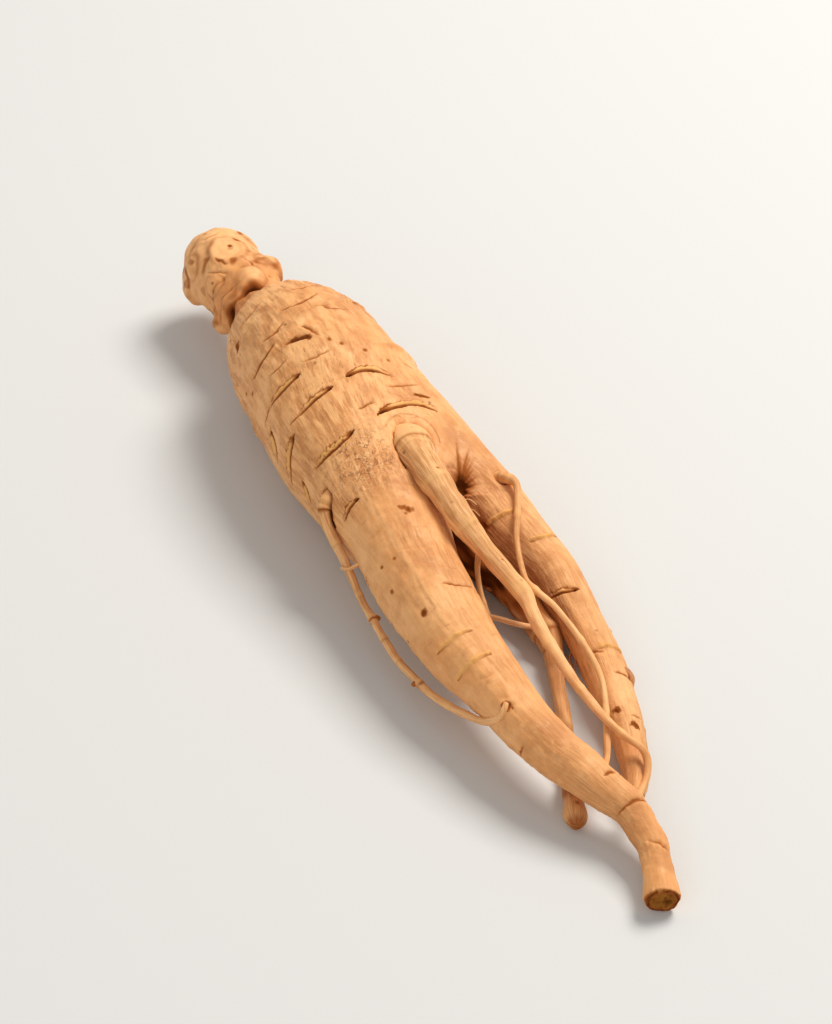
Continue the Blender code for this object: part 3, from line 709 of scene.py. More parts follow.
def headRelief(places, main, b, skin):
    # lumps, folds and stem scars, only on the head and neck; painted shade darkens the dips, the fold
    # grooves and rings round the scars and lumps
    head = ramp(-main["x"], 58.0, 62.5)
    fineLumps = noiseAt(places, 2.3, 5.0)
    height = 0.5 * noiseAt(places, 5.0) + 0.22 * fineLumps - 0.1
    crackAndShade = 0.26 * ramp(-fineLumps, 0.1, 0.5) + 0.12 * ramp(-noiseAt(places, 5.0), 0.0, 0.4)
    pale = np.zeros(len(places))
    wave = 0.9 * noiseAt(places, 4.0, 2.0) + 0.4 * noiseAt(places, 1.5, 6.0)
    for ringX, middle, halfAngle, rise, halfWidth in b["folds"]:
        away = np.abs((main["angle"] - middle + 180) % 360 - 180)
        within = ramp(halfAngle - away, 0, 45)
        height += rise * bump(main["x"] - ringX - wave, halfWidth) * within
        crackAndShade += 0.7 * max(0.0, -rise) * bump(main["x"] - ringX - wave, 0.6 * halfWidth) * within
    for middle, radius, rim, depth in b["stemScars"]:
        away = np.linalg.norm(places - np.array(middle), axis=1) + 0.5 * noiseAt(places, 2.0, 4.0)
        cup = ramp(radius - away, -0.3, 1.4)
        height = height * (1 - 0.7 * cup) - depth * cup + rim * bump(away - radius, 0.8)
        pale += 0.7 * ramp(radius - away, 0, 1.0)
        crackAndShade += 0.2 * bump(away - radius - 0.7, 0.7) + 0.1 * bump(away - 0.5 * radius, 0.4)
    for middle, radius, rise, paleness in b["lumps"]:
        away = np.linalg.norm(places - np.array(middle), axis=1) + 0.3 * noiseAt(places, 1.6, 7.0)
        lump = ramp(radius - away, -0.4, 1.6)
        height += rise * lump
        pale += paleness * lump
        crackAndShade += 0.18 * bump(away - radius - 0.4, 0.5)
    skin["height"] += head * height
    skin["crackAndShade"] = np.maximum(skin["crackAndShade"], head * np.clip(crackAndShade, 0, 0.7))
    skin["pale"] += head * pale


def neckGap(places, main, b, skin):
    # the gap below the last fold of the neck, open in two places and darkened there with painted shade
    wave = 0.45 * noiseAt(places, 3.5, 8.0)
    off = main["x"] - b["gap"] - wave
    dark = np.maximum(bump((main["angle"] + 7) / 24, 1.0), 0.9 * bump((main["angle"] + 77) / 19, 1.0))
    skin["height"] -= (0.35 + 1.3 * dark) * bump(off - 0.2, 0.95)
    skin["crackAndShade"] = np.maximum(skin["crackAndShade"], (0.4 + 0.8 * dark) * bump(off, 0.4 + 0.6 * dark))
    # painted shade between the gap and the shoulder, and the shoulder's pale edge
    skin["tintAndShade"] = np.maximum(skin["tintAndShade"], 0.5 * bump(off - 2.6, 2.2))
    skin["height"] += 0.2 * bump(main["x"] + 56.3 - wave, 1.4)
    skin["pale"] += 0.5 * bump(main["x"] + 54.0 - wave, 1.5) * ramp(60 - np.abs(main["angle"] + 40), 0, 30)


def hollowRelief(places, b, skin):
    # the crotch beside the middle rootlet, with wrinkles of many lengths that run into it; the hollow and
    # wrinkles are darkened with painted shade, with reddish painted shade round them
    offset = places - np.array(b["hollow"])
    ragged = 0.35 * noiseAt(places, 0.8, 6.0)
    away = np.hypot(offset[:, 0], offset[:, 1]) + 3.0 * np.clip(np.abs(offset[:, 2]) - 3.0, 0, None) + ragged
    spokes = np.zeros(len(places))
    for reachX, reachY in b["spokes"]:
        length = math.hypot(reachX, reachY)
        along = np.clip((offset[:, 0] * reachX + offset[:, 1] * reachY) / length ** 2, 0, 1)
        off = np.hypot(offset[:, 0] - along * reachX, offset[:, 1] - along * reachY) + 0.4 * np.abs(ragged)
        line = bump(off, 0.2 + 0.3 * (1 - along)) * (1 - along ** 2) * ramp(5.0 - np.abs(offset[:, 2]), 0, 1)
        spokes = np.maximum(spokes, line)
    skin["height"] -= 1.1 * bump(away, 1.8) + 0.3 * spokes
    dark = np.clip(1.1 * bump(away, 1.5) + 0.62 * spokes, 0, 1.0)
    skin["crackAndShade"] = np.maximum(skin["crackAndShade"], dark)
    skin["tintAndShade"] = np.maximum(skin["tintAndShade"], 0.8 * bump(away, 4.2))
    # painted shade in the gap beside the rootlet, lower down
    first, last = np.array(b["gapBeside"])
    along = np.clip((places - first) @ (last - first) / ((last - first) ** 2).sum(), 0, 1)
    gap = np.linalg.norm(places - first - along[:, None] * (last - first), axis=1)
    gap = gap + 0.7 * noiseAt(places, 1.2, 3.0)
    skin["height"] -= 0.5 * bump(gap, 1.3)
    skin["crackAndShade"] = np.maximum(skin["crackAndShade"], 0.9 * ramp(2.0 - gap, 0.0, 1.6))
    skin["tintAndShade"] = np.maximum(skin["tintAndShade"], ramp(4.5 - gap, 0.0, 3.0))


def crevice(places, line, skin, first, last, strength, archDark):
    # a broken seam darkened with painted shade, and a low rim, where a rootlet leaves the skin
    field = tubeField(places, line)
    here = ramp(field["run"], first, first + 4) * (field["run"] < last) * (field["beyond"] < 0)
    torn = noiseAt(places, 1.1, 4.0) + 0.6 * noiseAt(places, 0.5, 9.0)
    near = bump(np.clip(field["distance"] + 0.5 * np.maximum(torn, 0), 0, None), 0.45)
    near = near * (field["run"] < last)
    rim = bump(field["distance"] - 1.2, 0.7) * (field["run"] < last)
    arch = archDark * bump(field["distance"] - 1.9, 0.22) * (field["run"] < first + 3)
    skin["height"] += 0.26 * rim - 0.35 * near - 0.5 * arch
    skin["crackAndShade"] = np.maximum(skin["crackAndShade"], np.maximum(strength * near * (0.35 + 0.65 * here), arch))


def fineCreases(count, seed):
    # short faint creases all over the trunk and legs, from a seeded generator
    dice = random.Random(seed)
    creases = []
    for number in range(count):
        x = -58 + 125 * dice.random() ** 1.25
        angle = dice.uniform(-180, 180)
        half = dice.uniform(5, 15)
        lean = dice.uniform(-0.5, 0.5)
        points = [(x - lean, angle - half), (x + 0.3 * lean, angle), (x + lean, angle + half)]
        creases.append(("crease", points, dice.uniform(0.02, 0.1)))
    return creases


def unevenRelief(places, limbs, b, skin):
    # lengthwise ridges, broad lumps, lumpy wrinkles on the shoulder and finer ones over the trunk
    for limb, length, girth, offset, rise in b["ridges"]:
        field, share = limbs[limb]
        skin["height"] += share * rise * woundNoise(field["x"] / length, field["angle"], girth, 1.0, offset)
    for size, offset, rise in b["broadLumps"]:
        skin["height"] += rise * noiseAt(places, size, offset)
    main, mainShare = limbs["main"]
    shoulder = 0.3 + 0.7 * ramp(-main["x"], 14.0, 46.0)
    trunkOnly = mainShare * ramp(main["x"], -62, -56)
    rings = woundNoise(main["x"] / 1.3, main["angle"], 5.0, 1.0, 5.0)
    threads = woundNoise(main["x"] / 3.4, main["angle"], 13.0, 1.0, 7.0)
    skin["height"] += trunkOnly * (0.22 * shoulder * rings + 0.1 * threads)
    skin["height"] += 0.16 * shoulder * noiseAt(places, 1.5, 12.0)
    # the main leg is a little narrower on the side rootlet's side
    narrow = bump(main["x"] - 8, 7.5) * bump((main["angle"] + 115) / 42, 1.0)
    skin["height"] -= 1.3 * narrow * mainShare


def innerShades(limbs, skin):
    # the legs' reddish sides that face each other, partly their own colour and partly painted shade, and
    # darker painted shade deeper in on the second leg
    second, onSecond = limbs["second"]
    inner = ramp(-second["angle"], 15, 60) * ramp(150 + second["angle"], 0, 40)
    inner *= ramp(second["x"], 0, 8) * ramp(44 - second["x"], 0, 14) * onSecond
    deeper = ramp(-second["angle"], 60, 105) * ramp(36 - second["x"], 0, 16) * ramp(second["x"], 4, 12)
    main, mainShare = limbs["main"]
    innerMain = ramp(main["angle"], 62, 100) * ramp(180 - main["angle"], 10, 40)
    innerMain *= ramp(main["x"], 4, 14) * ramp(46 - main["x"], 0, 16) * mainShare
    skin["tintAndShade"] = np.maximum(skin["tintAndShade"], np.maximum(0.65 * inner, 0.6 * innerMain))
    skin["crackAndShade"] = np.maximum(skin["crackAndShade"], 0.3 * deeper * onSecond)
    return inner


def barkStrength(places, limbs, inner):
    # how strong the fine lines are: strong on the trunk's top and the second leg's inner side
    main, mainShare = limbs["main"]
    onSecond = limbs["second"][1]
    bark = 0.65 + 0.6 * noiseAt(places, 11.0, 5.0)
    bark += 0.45 * bump(main["x"] + 26, 16.0) * bump((main["angle"] + 25) / 55, 1.0)
    bark += 0.3 * inner - 0.3 * (1 - inner) * onSecond
    bark -= mainShare * (0.4 * ramp(main["x"], -4, 8) + 0.12 * ramp(main["x"], 20, 40))
    return np.clip(bark, 0.12, 1) * ramp(main["x"], -64, -56)


def forkShade(limbs, skin):
    # painted shade in the deep fork between the legs
    main, mainShare = limbs["main"]
    fork = (1 - np.abs(2 * mainShare - 1)) * ramp(main["x"], 3, 9) * ramp(40 - main["x"], 0, 14)
    skin["tintAndShade"] = np.maximum(skin["tintAndShade"], np.clip(1.6 * fork, 0, 1))
    skin["crackAndShade"] = np.maximum(skin["crackAndShade"], np.clip(1.9 * fork - 0.25, 0, 0.95))


def cutEndColours(main, b, wobble, skin):
    # the brown cut end of the tip, partly its own colour and partly painted shade of the end face, with a
    # dark rim inside a pale edge
    atTip = main["x"] > b["tipX"]
    skin["cutEnd"] = ramp(main["beyond"], -0.6, -0.15) * atTip
    rim = bump(main["side"] + 0.55 + 0.2 * wobble, 0.45)
    skin["crackAndShade"] = np.maximum(skin["crackAndShade"], 0.9 * rim * skin["cutEnd"])
    skin["lip"] = np.maximum(skin["lip"], bump(main["beyond"] + 0.75, 0.35) * atTip)


def bodyRelief(places, b):
    # how far the skin is moved outwards, and its colours, for each vertex
    whole, main, second, mainShare = bodyField(places)
    count = len(places)
    names = ("height", "crackAndShade", "lip", "tintAndShade", "pale")
    skin = {name: np.zeros(count) for name in names}
    wobble = noiseAt(places, 0.9, 1.7)
    addMarks(main, mainMarks, bodyLines["main"], wobble, skin)
    onSecond = ramp(0.75 - mainShare, 0.0, 0.4)
    secondSkin = {name: np.zeros(count) for name in names}
    addMarks(second, secondMarks, bodyLines["second"], wobble, secondSkin)
    for name in names:
        skin[name] = skin[name] + secondSkin[name] * onSecond
    addMarks(main, fineCreases(b["fineCreases"], b["seed"]), bodyLines["main"], wobble, skin)
    unevenRelief(places, {"main": (main, mainShare), "second": (second, 1 - mainShare)}, b, skin)

    headRelief(places, main, b, skin)
    neckGap(places, main, b, skin)
    hollowRelief(places, b, skin)
    for name, first, last, strength, archDark in b["crevices"]:
        crevice(places, bodyLines[name], skin, first, last, strength, archDark)

    limbs = {"main": (main, mainShare), "second": (second, onSecond)}
    inner = innerShades(limbs, skin)
    skin["crackle"] = bump(main["x"] + 4.0, 6.0) * bump((main["angle"] + 18) / 36, 1.0) * mainShare
    skin["bark"] = barkStrength(places, limbs, inner)
    forkShade(limbs, skin)
    cutEndColours(main, b, wobble, skin)
    return skin, {"main": main, "second": second, "mainShare": mainShare, "whole": whole}


def makeBody():
    skin = roughBody(body)
    print("body remeshed:", len(skin.data.polygons), "faces")
    setPlaces(skin, settle(getPlaces(skin), 3))
    refineSkin(skin, body)
    places = settle(getPlaces(skin), 2)
    relief, field = bodyRelief(places, body)
    places = places + field["whole"]["way"] * relief["height"][:, None]
    onCut = (field["main"]["beyond"] > 0) & (places[:, 0] > body["tipX"])
    places = places - field["whole"]["way"] * (body["cutDepth"] * relief["cutEnd"] * onCut)[:, None]
    places[:, 2] = np.maximum(places[:, 2], 0.0)
    for name in ("crackAndShade", "lip", "tintAndShade", "crackle", "cutEnd", "pale", "bark"):
        paint(skin, name, np.clip(relief[name], 0, 1))
    paint(skin, "mainShare", field["mainShare"])
    for name, limb in (("skinPlace", "main"), ("secondPlace", "second")):
        paintVector(skin, name, wound(field[limb]["run"], field[limb]["angle"], body["girth"][limb]))
    setPlaces(skin, places + shiftToFrame)
    skin.data.shade_smooth()
    print("body shaped:", len(skin.data.polygons), "triangles")
    return skin


rootBody = makeBody()


# Rootlets and the third leg: swept tubes with rings, knots and uneven skin

plainRootlet = {
    # rings: x, rise, half width and dark line; dots: x, angle, radius and darkness
    "rings": [], "dots": [],
    # tint (reddish colour and painted shade), shade (painted shade), fine lines and paleness by x, and the
    # dark end (painted shade)
    "tintAngle": 0, "tintX": (0, 80), "tintAndShade": (0.0, 0.0), "shadeX": (0, 80), "shade": (0.0, 0.0),
    "barkX": (0, 80), "bark": (0.45, 0.45), "pale": (0.0, 0.0), "darkEnd": 0.0,
    "swellRise": 0.16, "unevenRise": 0.12}


def makeRootlet(name, guide, settings):
    s = {**plainRootlet, **settings}
    line = smoothLine(guide, s["ringGap"])
    tube = tubeAlong(name, line, s["sides"])
    places = getPlaces(tube)
    field = tubeField(places, line, 0.3)
    x, run, angle, radius = (field[key] for key in ("x", "run", "angle", "radius"))
    zeros = np.zeros(len(places))
    slow = noiseAt(np.stack([run / s["swell"], zeros + s["seed"], zeros], axis=1), 1.0)
    uneven = woundNoise(run / 3.0, angle, 1.2, 1.0, s["seed"])
    height = radius * (s["swellRise"] * slow + s["unevenRise"] * uneven)
    crackAndShade = np.zeros(len(places))
    lip = np.zeros(len(places))
    for ringX, rise, halfWidth, dark in s["rings"]:
        ring = bump(x - ringX - 0.25 * halfWidth * uneven, halfWidth)
        height += rise * ring
        crackAndShade += dark * bump(x - ringX - 1.1 * halfWidth, 0.6 * halfWidth)
        lip += 0.5 * ring * (rise > 0)
    for dotX, dotAngle, dotRadius, dark in s["dots"]:
        across = np.radians((angle - dotAngle + 180) % 360 - 180) * radius
        spot = bump(np.hypot(x - dotX, across), dotRadius)
        height -= 0.12 * spot
        crackAndShade += dark * spot
    places = places + field["way"] * height[:, None]
    places[:, 2] = np.maximum(places[:, 2], 0.0)

    # tint on one side: reddish colour and painted shade; the dark end and the shade by x are painted shade
    top = ramp(90 - np.abs(angle - s["tintAngle"]), -40, 50)
    tintAndShade = top * np.interp(x, s["tintX"], s["tintAndShade"])
    endShade = ramp(field["beyond"], -1.6, 0.2) * (run > 10) * s["darkEnd"]
    shade = np.interp(x, s["shadeX"], s["shade"])
    crackAndShade = np.maximum(crackAndShade, shade * (0.8 + 0.7 * woundNoise(run / 5, angle, 1.6, 0.6, s["seed"])))
    paint(tube, "crackAndShade", np.clip(crackAndShade, 0, 1))
    paint(tube, "lip", np.clip(lip, 0, 1))
    paint(tube, "bark", np.interp(x, s["barkX"], s["bark"]) + 0.3 * uneven)
    paint(tube, "pale", np.interp(x, s["barkX"], s["pale"]))
    paint(tube, "tintAndShade", np.clip(np.maximum(tintAndShade, endShade), 0, 1))
    paintVector(tube, "skinPlace", wound(run, angle, float(line[:, 3].mean())))
    setPlaces(tube, places + shiftToFrame)
    tube.data.shade_smooth()
    return tube


rootlets = {
    "middleRootlet": (middleRootlet, {
        "sides": 44, "ringGap": 0.4, "swell": 9.0, "seed": 3.0,
        "rings": [(-9.0, -0.3, 0.5, 0.4), (-6.2, 0.14, 0.6, 0.1), (-3.3, 0.34, 0.5, 0.32),
                  (-1.6, 0.08, 0.4, 0.15), (7.0, 0.06, 0.5, 0.1), (16.5, 0.08, 0.5, 0.15),
                  (29.6, 0.28, 1.6, 0.0), (41.0, 0.1, 0.8, 0.1), (52.0, 0.08, 0.6, 0.1),
                  (63.5, 0.12, 0.8, 0.1)],
        "dots": [(6.0, 10, 0.3, 0.6), (12.5, -20, 0.25, 0.5), (24.0, 15, 0.22, 0.5), (37.0, -10, 0.2, 0.5)],
        "barkX": (-3.4, -2.6, 14, 32, 80), "bark": (0.1, 1.0, 0.9, 0.4, 0.3), "pale": (0.6, 0, 0, 0.2, 0)}),
    "leaningRootlet": (leaningRootlet, {
        "sides": 20, "ringGap": 0.4, "swell": 7.0, "seed": 5.0,
        "rings": [(3.6, 0.25, 0.5, 0.3), (5.9, 0.12, 0.5, 0.2), (13.2, 0.16, 0.8, 0.1),
                  (30.0, 0.14, 0.7, 0.1), (42.0, 0.12, 0.8, 0.1), (57.0, 0.1, 0.8, 0.1)],
        "tintX": (0, 8, 14, 70), "tintAndShade": (0.3, 0.15, 0.0, 0.0)}),
    "thinRootlet": (thinRootlet, {
        "sides": 16, "ringGap": 0.4, "swell": 6.0, "seed": 8.0, "rings": [(24.0, 0.08, 0.5, 0.1)]}),
    "crossRootlet": (crossRootlet, {
        "sides": 16, "ringGap": 0.4, "swell": 5.0, "seed": 9.0, "tintAndShade": (0.3, 0.3)}),
    "sideRootlet": (sideRootlet, {
        "sides": 28, "ringGap": 0.35, "swell": 5.0, "seed": 12.0,
        "rings": [(-2.95, 0.15, 0.22, 0.2), (-2.4, 0.3, 0.22, 0.6), (-2.0, 0.1, 0.2, 0.45),
                  (3.0, 0.06, 0.4, 0.2), (12.6, 0.08, 0.5, 0.15), (17.9, 0.18, 0.45, 0.5),
                  (22.6, 0.1, 0.6, 0.25), (28.0, 0.06, 0.5, 0.2), (35.0, 0.14, 0.6, 0.3),
                  (43.0, 0.08, 0.8, 0.1)],
        "barkX": (-8, 20, 50), "bark": (0.95, 0.8, 0.45), "pale": (0, 0, 0),
        "tintAngle": 50, "tintX": (-8, 0, 30, 50), "tintAndShade": (0.25, 0.3, 0.2, 0.0)}),
    "thirdLeg": (thirdLeg, {
        "sides": 40, "ringGap": 0.45, "swell": 8.0, "seed": 15.0,
        "rings": [(17.0, -0.15, 0.5, 0.2), (31.5, 0.2, 0.8, 0.4), (35.6, -0.2, 0.5, 0.5),
                  (52.0, 0.1, 0.8, 0.1), (65.0, 0.1, 0.6, 0.2)],
        "dots": [(28.0, -10, 0.35, 0.8), (70.5, 10, 0.4, 0.5)],
        # the tint and shade are painted shade on the top under the fork and the middle rootlet, and a
        # painted shadow of the main leg by the knob
        "tintAngle": -10, "tintX": (0, 26, 36, 50, 63, 67.5, 69.5, 72.2, 73.4),
        "tintAndShade": (1.0, 0.9, 0.5, 0.25, 0.4, 0.9, 0.3, 0.3, 1.0),
        "shadeX": (0, 16, 23, 29, 36, 42, 63, 67, 69.3, 72.2, 73.4),
        "shade": (1.0, 0.95, 0.7, 0.38, 0.15, 0.0, 0.0, 0.4, 0.0, 0.05, 0.5),
        "darkEnd": 0.8})}

# Twigs, fibres and crumbs: short fine strands, each with its points (x, y, z, radius), tint and shade
strands = {
    "bridgeTwig": ([(6.9, -19.9, 10.6, 0.28), (7.7, -19.7, 11.0, 0.36), (8.3, -19.0, 11.1, 0.36),
                    (8.6, -18.0, 11.6, 0.34), (8.8, -17.0, 12.2, 0.3), (8.9, -16.2, 12.6, 0.25)], 0.0, 0.0),
    "sideStubA": ([(17.9, -19.1, 7.3, 0.5), (18.2, -18.5, 7.2, 0.55), (18.5, -18.0, 7.0, 0.35)], 1.0, 0.45),
    "sideStubB": ([(34.6, -19.0, 5.6, 0.5), (34.8, -19.7, 5.7, 0.45), (34.9, -20.1, 5.7, 0.3)], 1.0, 0.4),
    "legBarkCurl": ([(47.8, 13.6, 6.2, 0.3), (48.6, 14.3, 6.2, 0.5), (49.7, 14.6, 5.6, 0.6),
                     (50.8, 14.2, 5.0, 0.55), (51.8, 13.5, 4.6, 0.3)], 0.9, 0.0),
    "hollowFibreA": ([(4.9, 4.6, 14.9, 0.16), (5.9, 6.0, 15.9, 0.13), (7.2, 7.0, 15.2, 0.1)], 0.0, 0.0),
    "hollowFibreB": ([(6.2, 4.4, 13.9, 0.15), (7.4, 5.9, 14.7, 0.12), (8.9, 6.8, 13.9, 0.09)], 0.1, 0.0),
    "gapFibreA": ([(18.4, 5.2, 4.4, 0.4), (17.7, 4.5, 4.3, 0.36), (17.2, 3.9, 4.5, 0.18)], 1.0, 0.6),
    "gapFibreB": ([(38.0, 9.6, 3.2, 0.22), (38.8, 8.8, 2.9, 0.18), (39.9, 8.9, 2.1, 0.12)], 1.0, 0.2),
    "gapFibreC": ([(39.4, 9.8, 3.6, 0.2), (40.6, 9.0, 3.4, 0.16), (41.6, 8.4, 2.6, 0.12)], 1.0, 0.2)}

pieces = [rootBody]
for rootletName, (guide, settings) in rootlets.items():
    pieces.append(makeRootlet(rootletName, guide, settings))
for strandName, (guide, tintAndShade, shade) in strands.items():
    pieces.append(makeRootlet(strandName, guide, {
        "sides": 10, "ringGap": 0.25, "swell": 2.0, "seed": 20.0, "tintAndShade": (tintAndShade, tintAndShade),
        "shade": (shade, shade)}))
print("rootlets made:", len(pieces) - 1)


# Skin materials

# the crack colour darkens both real cracks and places of painted shade
sharedSkin = {
    "rust": (0.36, 0.105, 0.024, 1), "crackAndShade": (0.075, 0.016, 0.003, 1), "gloss": 0.28, "glow": 0.08,
    "glowColour": (1.0, 0.45, 0.2), "glowReach": 0.0015,
    # how fine the patterns on Object coordinates are
    "mottling": 62.0, "blotches": 330.0, "specks": 300.0, "threads": 620.0, "breaks": 900.0,
    "flakes": 1150.0, "grain": 2300.0}
# the tint colour is the reddish skin of the inner sides and also painted shade
trunkSkin = {
    **sharedSkin, "name": "trunkSkin", "deep": (0.56, 0.225, 0.072, 1), "tan": (0.77, 0.345, 0.118, 1),
    "peach": (0.90, 0.475, 0.195, 1), "line": (0.42, 0.15, 0.045, 1), "lip": (0.82, 0.41, 0.105, 1),
    "tintAndShade": (0.36, 0.10, 0.028, 1), "cut": (0.36, 0.135, 0.022, 1), "speck": (0.2, 0.06, 0.018, 1),
    "flake": (0.93, 0.53, 0.24, 1), "stripe": 3.2, "stripeLength": 0.1, "bump": 0.00026,
    "roughness": 0.52, "limbs": 2}
rootletSkin = {
    **sharedSkin, "name": "rootletSkin", "deep": (0.58, 0.25, 0.08, 1), "tan": (0.79, 0.38, 0.135, 1),
    "peach": (0.91, 0.50, 0.215, 1), "line": (0.38, 0.14, 0.042, 1), "lip": (0.88, 0.49, 0.18, 1),
    "tintAndShade": (0.36, 0.11, 0.032, 1), "cut": (0.28, 0.10, 0.026, 1), "speck": (0.19, 0.06, 0.02, 1),
    "flake": (0.98, 0.60, 0.30, 1), "stripe": 6.5, "stripeLength": 0.04, "bump": 0.00012,
    "roughness": 0.54, "limbs": 1}


def addNode(tree, kind, inputs=None, **settings):
    # a shader node with its settings, and its inputs set or linked
    made = tree.nodes.new(kind)
    for key, value in settings.items():
        setattr(made, key, value)
    for key, value in (inputs or {}).items():
        if isinstance(value, bpy.types.NodeSocket):
            tree.links.new(value, made.inputs[key])
        else:
            made.inputs[key].default_value = value
    return made


def mixed(tree, factor, under, over, mode="MIX"):
    made = addNode(tree, "ShaderNodeMix", {0: factor, 6: under, 7: over}, data_type="RGBA", blend_type=mode)
    return made.outputs[2]


def sums(tree, operation, a, b=0.0):
    return addNode(tree, "ShaderNodeMath", {0: a, 1: b}, operation=operation, use_clamp=False).outputs[0]


def stretched(tree, vector, scale):
    made = addNode(tree, "ShaderNodeVectorMath", {0: vector, 1: scale}, operation="MULTIPLY")
    return made.outputs[0]


def noiseNode(tree, vector, scale, detail=2.0, roughness=0.5):
    made = addNode(tree, "ShaderNodeTexNoise",
                   {"Vector": vector, "Scale": scale, "Detail": detail, "Roughness": roughness})
    return made.outputs[0]


def rampNode(tree, value, stops):
    made = addNode(tree, "ShaderNodeValToRGB", {0: value})
    elements = made.color_ramp.elements
    while len(elements) < len(stops):
        elements.new(0.5)
    for element, (position, colour) in zip(elements, stops):
        element.position = position
        element.color = colour
    return made.outputs[0]


def stepNode(tree, value, low, high, outLow=0.0, outHigh=1.0):
    made = addNode(tree, "ShaderNodeMapRange",
                   {0: value, 1: low, 2: high, 3: outLow, 4: outHigh}, interpolation_type="SMOOTHSTEP")
    return made.outputs[0]


def painted(tree, name):
    return addNode(tree, "ShaderNodeAttribute", attribute_name=name).outputs["Fac"]


def alongNoise(tree, s, stretch, scale, detail, roughness):
    # noise drawn out along the limb; the trunk mixes the noises of its two limbs
    place = addNode(tree, "ShaderNodeAttribute", attribute_name="skinPlace").outputs["Vector"]
    first = noiseNode(tree, stretched(tree, place, stretch), scale, detail, roughness)
    if s["limbs"] == 1:
        return first
    place = addNode(tree, "ShaderNodeAttribute", attribute_name="secondPlace").outputs["Vector"]
    second = noiseNode(tree, stretched(tree, place, stretch), scale, detail, roughness)
    both = addNode(tree, "ShaderNodeMix", {0: painted(tree, "mainShare"), 2: second, 3: first})
    return both.outputs[0]


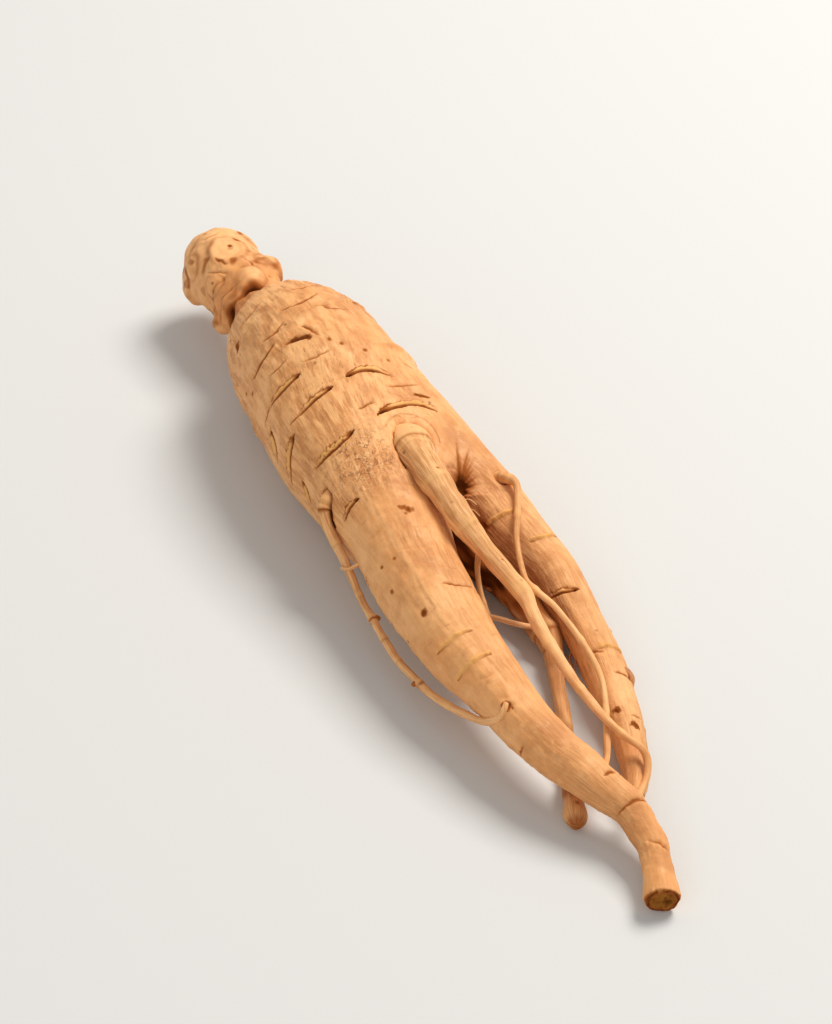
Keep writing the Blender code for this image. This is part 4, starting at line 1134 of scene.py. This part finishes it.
def makeSkin(s):
    material = bpy.data.materials.new(s["name"])
    material.use_nodes = True
    tree = material.node_tree
    shader = tree.nodes["Principled BSDF"]
    solid = addNode(tree, "ShaderNodeTexCoord").outputs["Object"]
    bark = painted(tree, "bark")

    # broad mottling from tan to peach, then finer blotches
    broad = noiseNode(tree, solid, s["mottling"], 4.0, 0.55)
    colour = rampNode(tree, broad, [(0.32, s["deep"]), (0.46, s["tan"]), (0.66, s["peach"])])
    blotch = noiseNode(tree, solid, s["blotches"], 5.0, 0.6)
    colour = mixed(tree, stepNode(tree, blotch, 0.45, 0.75, 0.0, 0.5), colour, s["deep"])
    colour = mixed(tree, stepNode(tree, blotch, 0.5, 0.28, 0.0, 0.5), colour, s["peach"])
    colour = mixed(tree, painted(tree, "pale"), colour, s["peach"])

    # lines that run along the root: pale and dark threads, and broader soft bands
    lines = alongNoise(tree, s, (s["stripeLength"], 1.0, 1.0), s["stripe"], 3.0, 0.7)
    bands = alongNoise(tree, s, (0.5 * s["stripeLength"], 0.36, 0.36), s["stripe"], 2.0, 0.5)
    darkLine = sums(tree, "MULTIPLY", stepNode(tree, lines, 0.50, 0.68, 0.0, 0.85), bark)
    paleLine = sums(tree, "MULTIPLY", stepNode(tree, lines, 0.50, 0.38, 0.0, 1.0), bark)
    colour = mixed(tree, darkLine, colour, s["line"])
    colour = mixed(tree, paleLine, colour, s["peach"])
    darkBand = sums(tree, "MULTIPLY", stepNode(tree, bands, 0.48, 0.62, 0.0, 0.75), bark)
    paleBand = sums(tree, "MULTIPLY", stepNode(tree, bands, 0.5, 0.38, 0.0, 0.65), bark)
    colour = mixed(tree, darkBand, colour, s["deep"])
    colour = mixed(tree, paleBand, colour, s["peach"])

    # dark specks
    cells = addNode(tree, "ShaderNodeTexVoronoi", {"Vector": solid, "Scale": s["specks"]}, feature="F1")
    rare = addNode(tree, "ShaderNodeSeparateColor", {0: cells.outputs["Color"]}).outputs[0]
    speck = sums(tree, "MULTIPLY", stepNode(tree, cells.outputs["Distance"], 0.16, 0.05),
                 stepNode(tree, rare, 0.84, 0.88))
    colour = mixed(tree, sums(tree, "MULTIPLY", speck, 0.7), colour, s["speck"])

    # reddish inner sides with stripes, partly their own colour and partly painted shade
    stripes = stepNode(tree, lines, 0.38, 0.58, 0.4, 1.0)
    colour = mixed(tree, sums(tree, "MULTIPLY", painted(tree, "tintAndShade"), stripes), colour, s["tintAndShade"])

    # flaky patch: short broken dark threads, and pale flakes between them
    patch = painted(tree, "crackle")
    swirl = noiseNode(tree, solid, s["threads"], 3.0, 0.65)
    thread = sums(tree, "SUBTRACT", swirl, 0.5)
    thread = stepNode(tree, sums(tree, "ABSOLUTE", thread), 0.045, 0.01)
    broken = stepNode(tree, noiseNode(tree, solid, s["breaks"], 2.0, 0.5), 0.47, 0.58)
    thread = sums(tree, "MULTIPLY", sums(tree, "MULTIPLY", thread, broken), patch)
    flake = stepNode(tree, noiseNode(tree, solid, s["flakes"], 2.0, 0.5), 0.52, 0.62)
    flake = sums(tree, "MULTIPLY", flake, patch)
    colour = mixed(tree, sums(tree, "MULTIPLY", flake, 0.55), colour, s["flake"])
    colour = mixed(tree, sums(tree, "MULTIPLY", thread, 0.8), colour, s["tintAndShade"])

    # lips, dark cracks and painted shade, and the cut end
    colour = mixed(tree, painted(tree, "lip"), colour, s["lip"])
    cutColour = mixed(tree, stepNode(tree, blotch, 0.42, 0.62, 0.0, 0.7), s["cut"], s["crackAndShade"])
    colour = mixed(tree, painted(tree, "cutEnd"), colour, cutColour)
    crackAndShade = painted(tree, "crackAndShade")
    colour = mixed(tree, stepNode(tree, crackAndShade, 0.02, 0.5), colour, s["rust"])
    colour = mixed(tree, stepNode(tree, crackAndShade, 0.4, 1.0), colour, s["crackAndShade"])
    tree.links.new(colour, shader.inputs["Base Color"])

    # relief too fine for the mesh
    across = alongNoise(tree, s, (1.4, 0.35, 0.35), 1.0, 3.0, 0.55)
    grain = noiseNode(tree, solid, s["grain"], 3.0, 0.6)
    relief = sums(tree, "MULTIPLY", sums(tree, "MULTIPLY", lines, -1.0), bark)
    for layer, rise in ((across, 0.5), (grain, 0.22), (flake, 0.35), (thread, -0.5)):
        relief = sums(tree, "ADD", relief, sums(tree, "MULTIPLY", layer, rise))
    bumpNode = addNode(tree, "ShaderNodeBump", {"Height": relief, "Strength": 1.0, "Distance": s["bump"]})
    tree.links.new(bumpNode.outputs[0], shader.inputs["Normal"])

    gloss = stepNode(tree, blotch, 0.3, 0.7, s["roughness"] - 0.05, s["roughness"] + 0.13)
    tree.links.new(gloss, shader.inputs["Roughness"])
    dull = sums(tree, "MAXIMUM", crackAndShade, painted(tree, "cutEnd"))
    tree.links.new(stepNode(tree, dull, 0.0, 0.5, s["gloss"], 0.0), shader.inputs["Specular IOR Level"])
    shader.inputs["Subsurface Weight"].default_value = s["glow"]
    shader.inputs["Subsurface Radius"].default_value = s["glowColour"]
    shader.inputs["Subsurface Scale"].default_value = s["glowReach"]
    return material


trunk = makeSkin(trunkSkin)
fine = makeSkin(rootletSkin)
for piece in pieces:
    piece.data.materials.clear()
    piece.data.materials.append(trunk if piece == rootBody else fine)
    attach(piece, "root")
    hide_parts("ginseng_root")
print("skin painted")
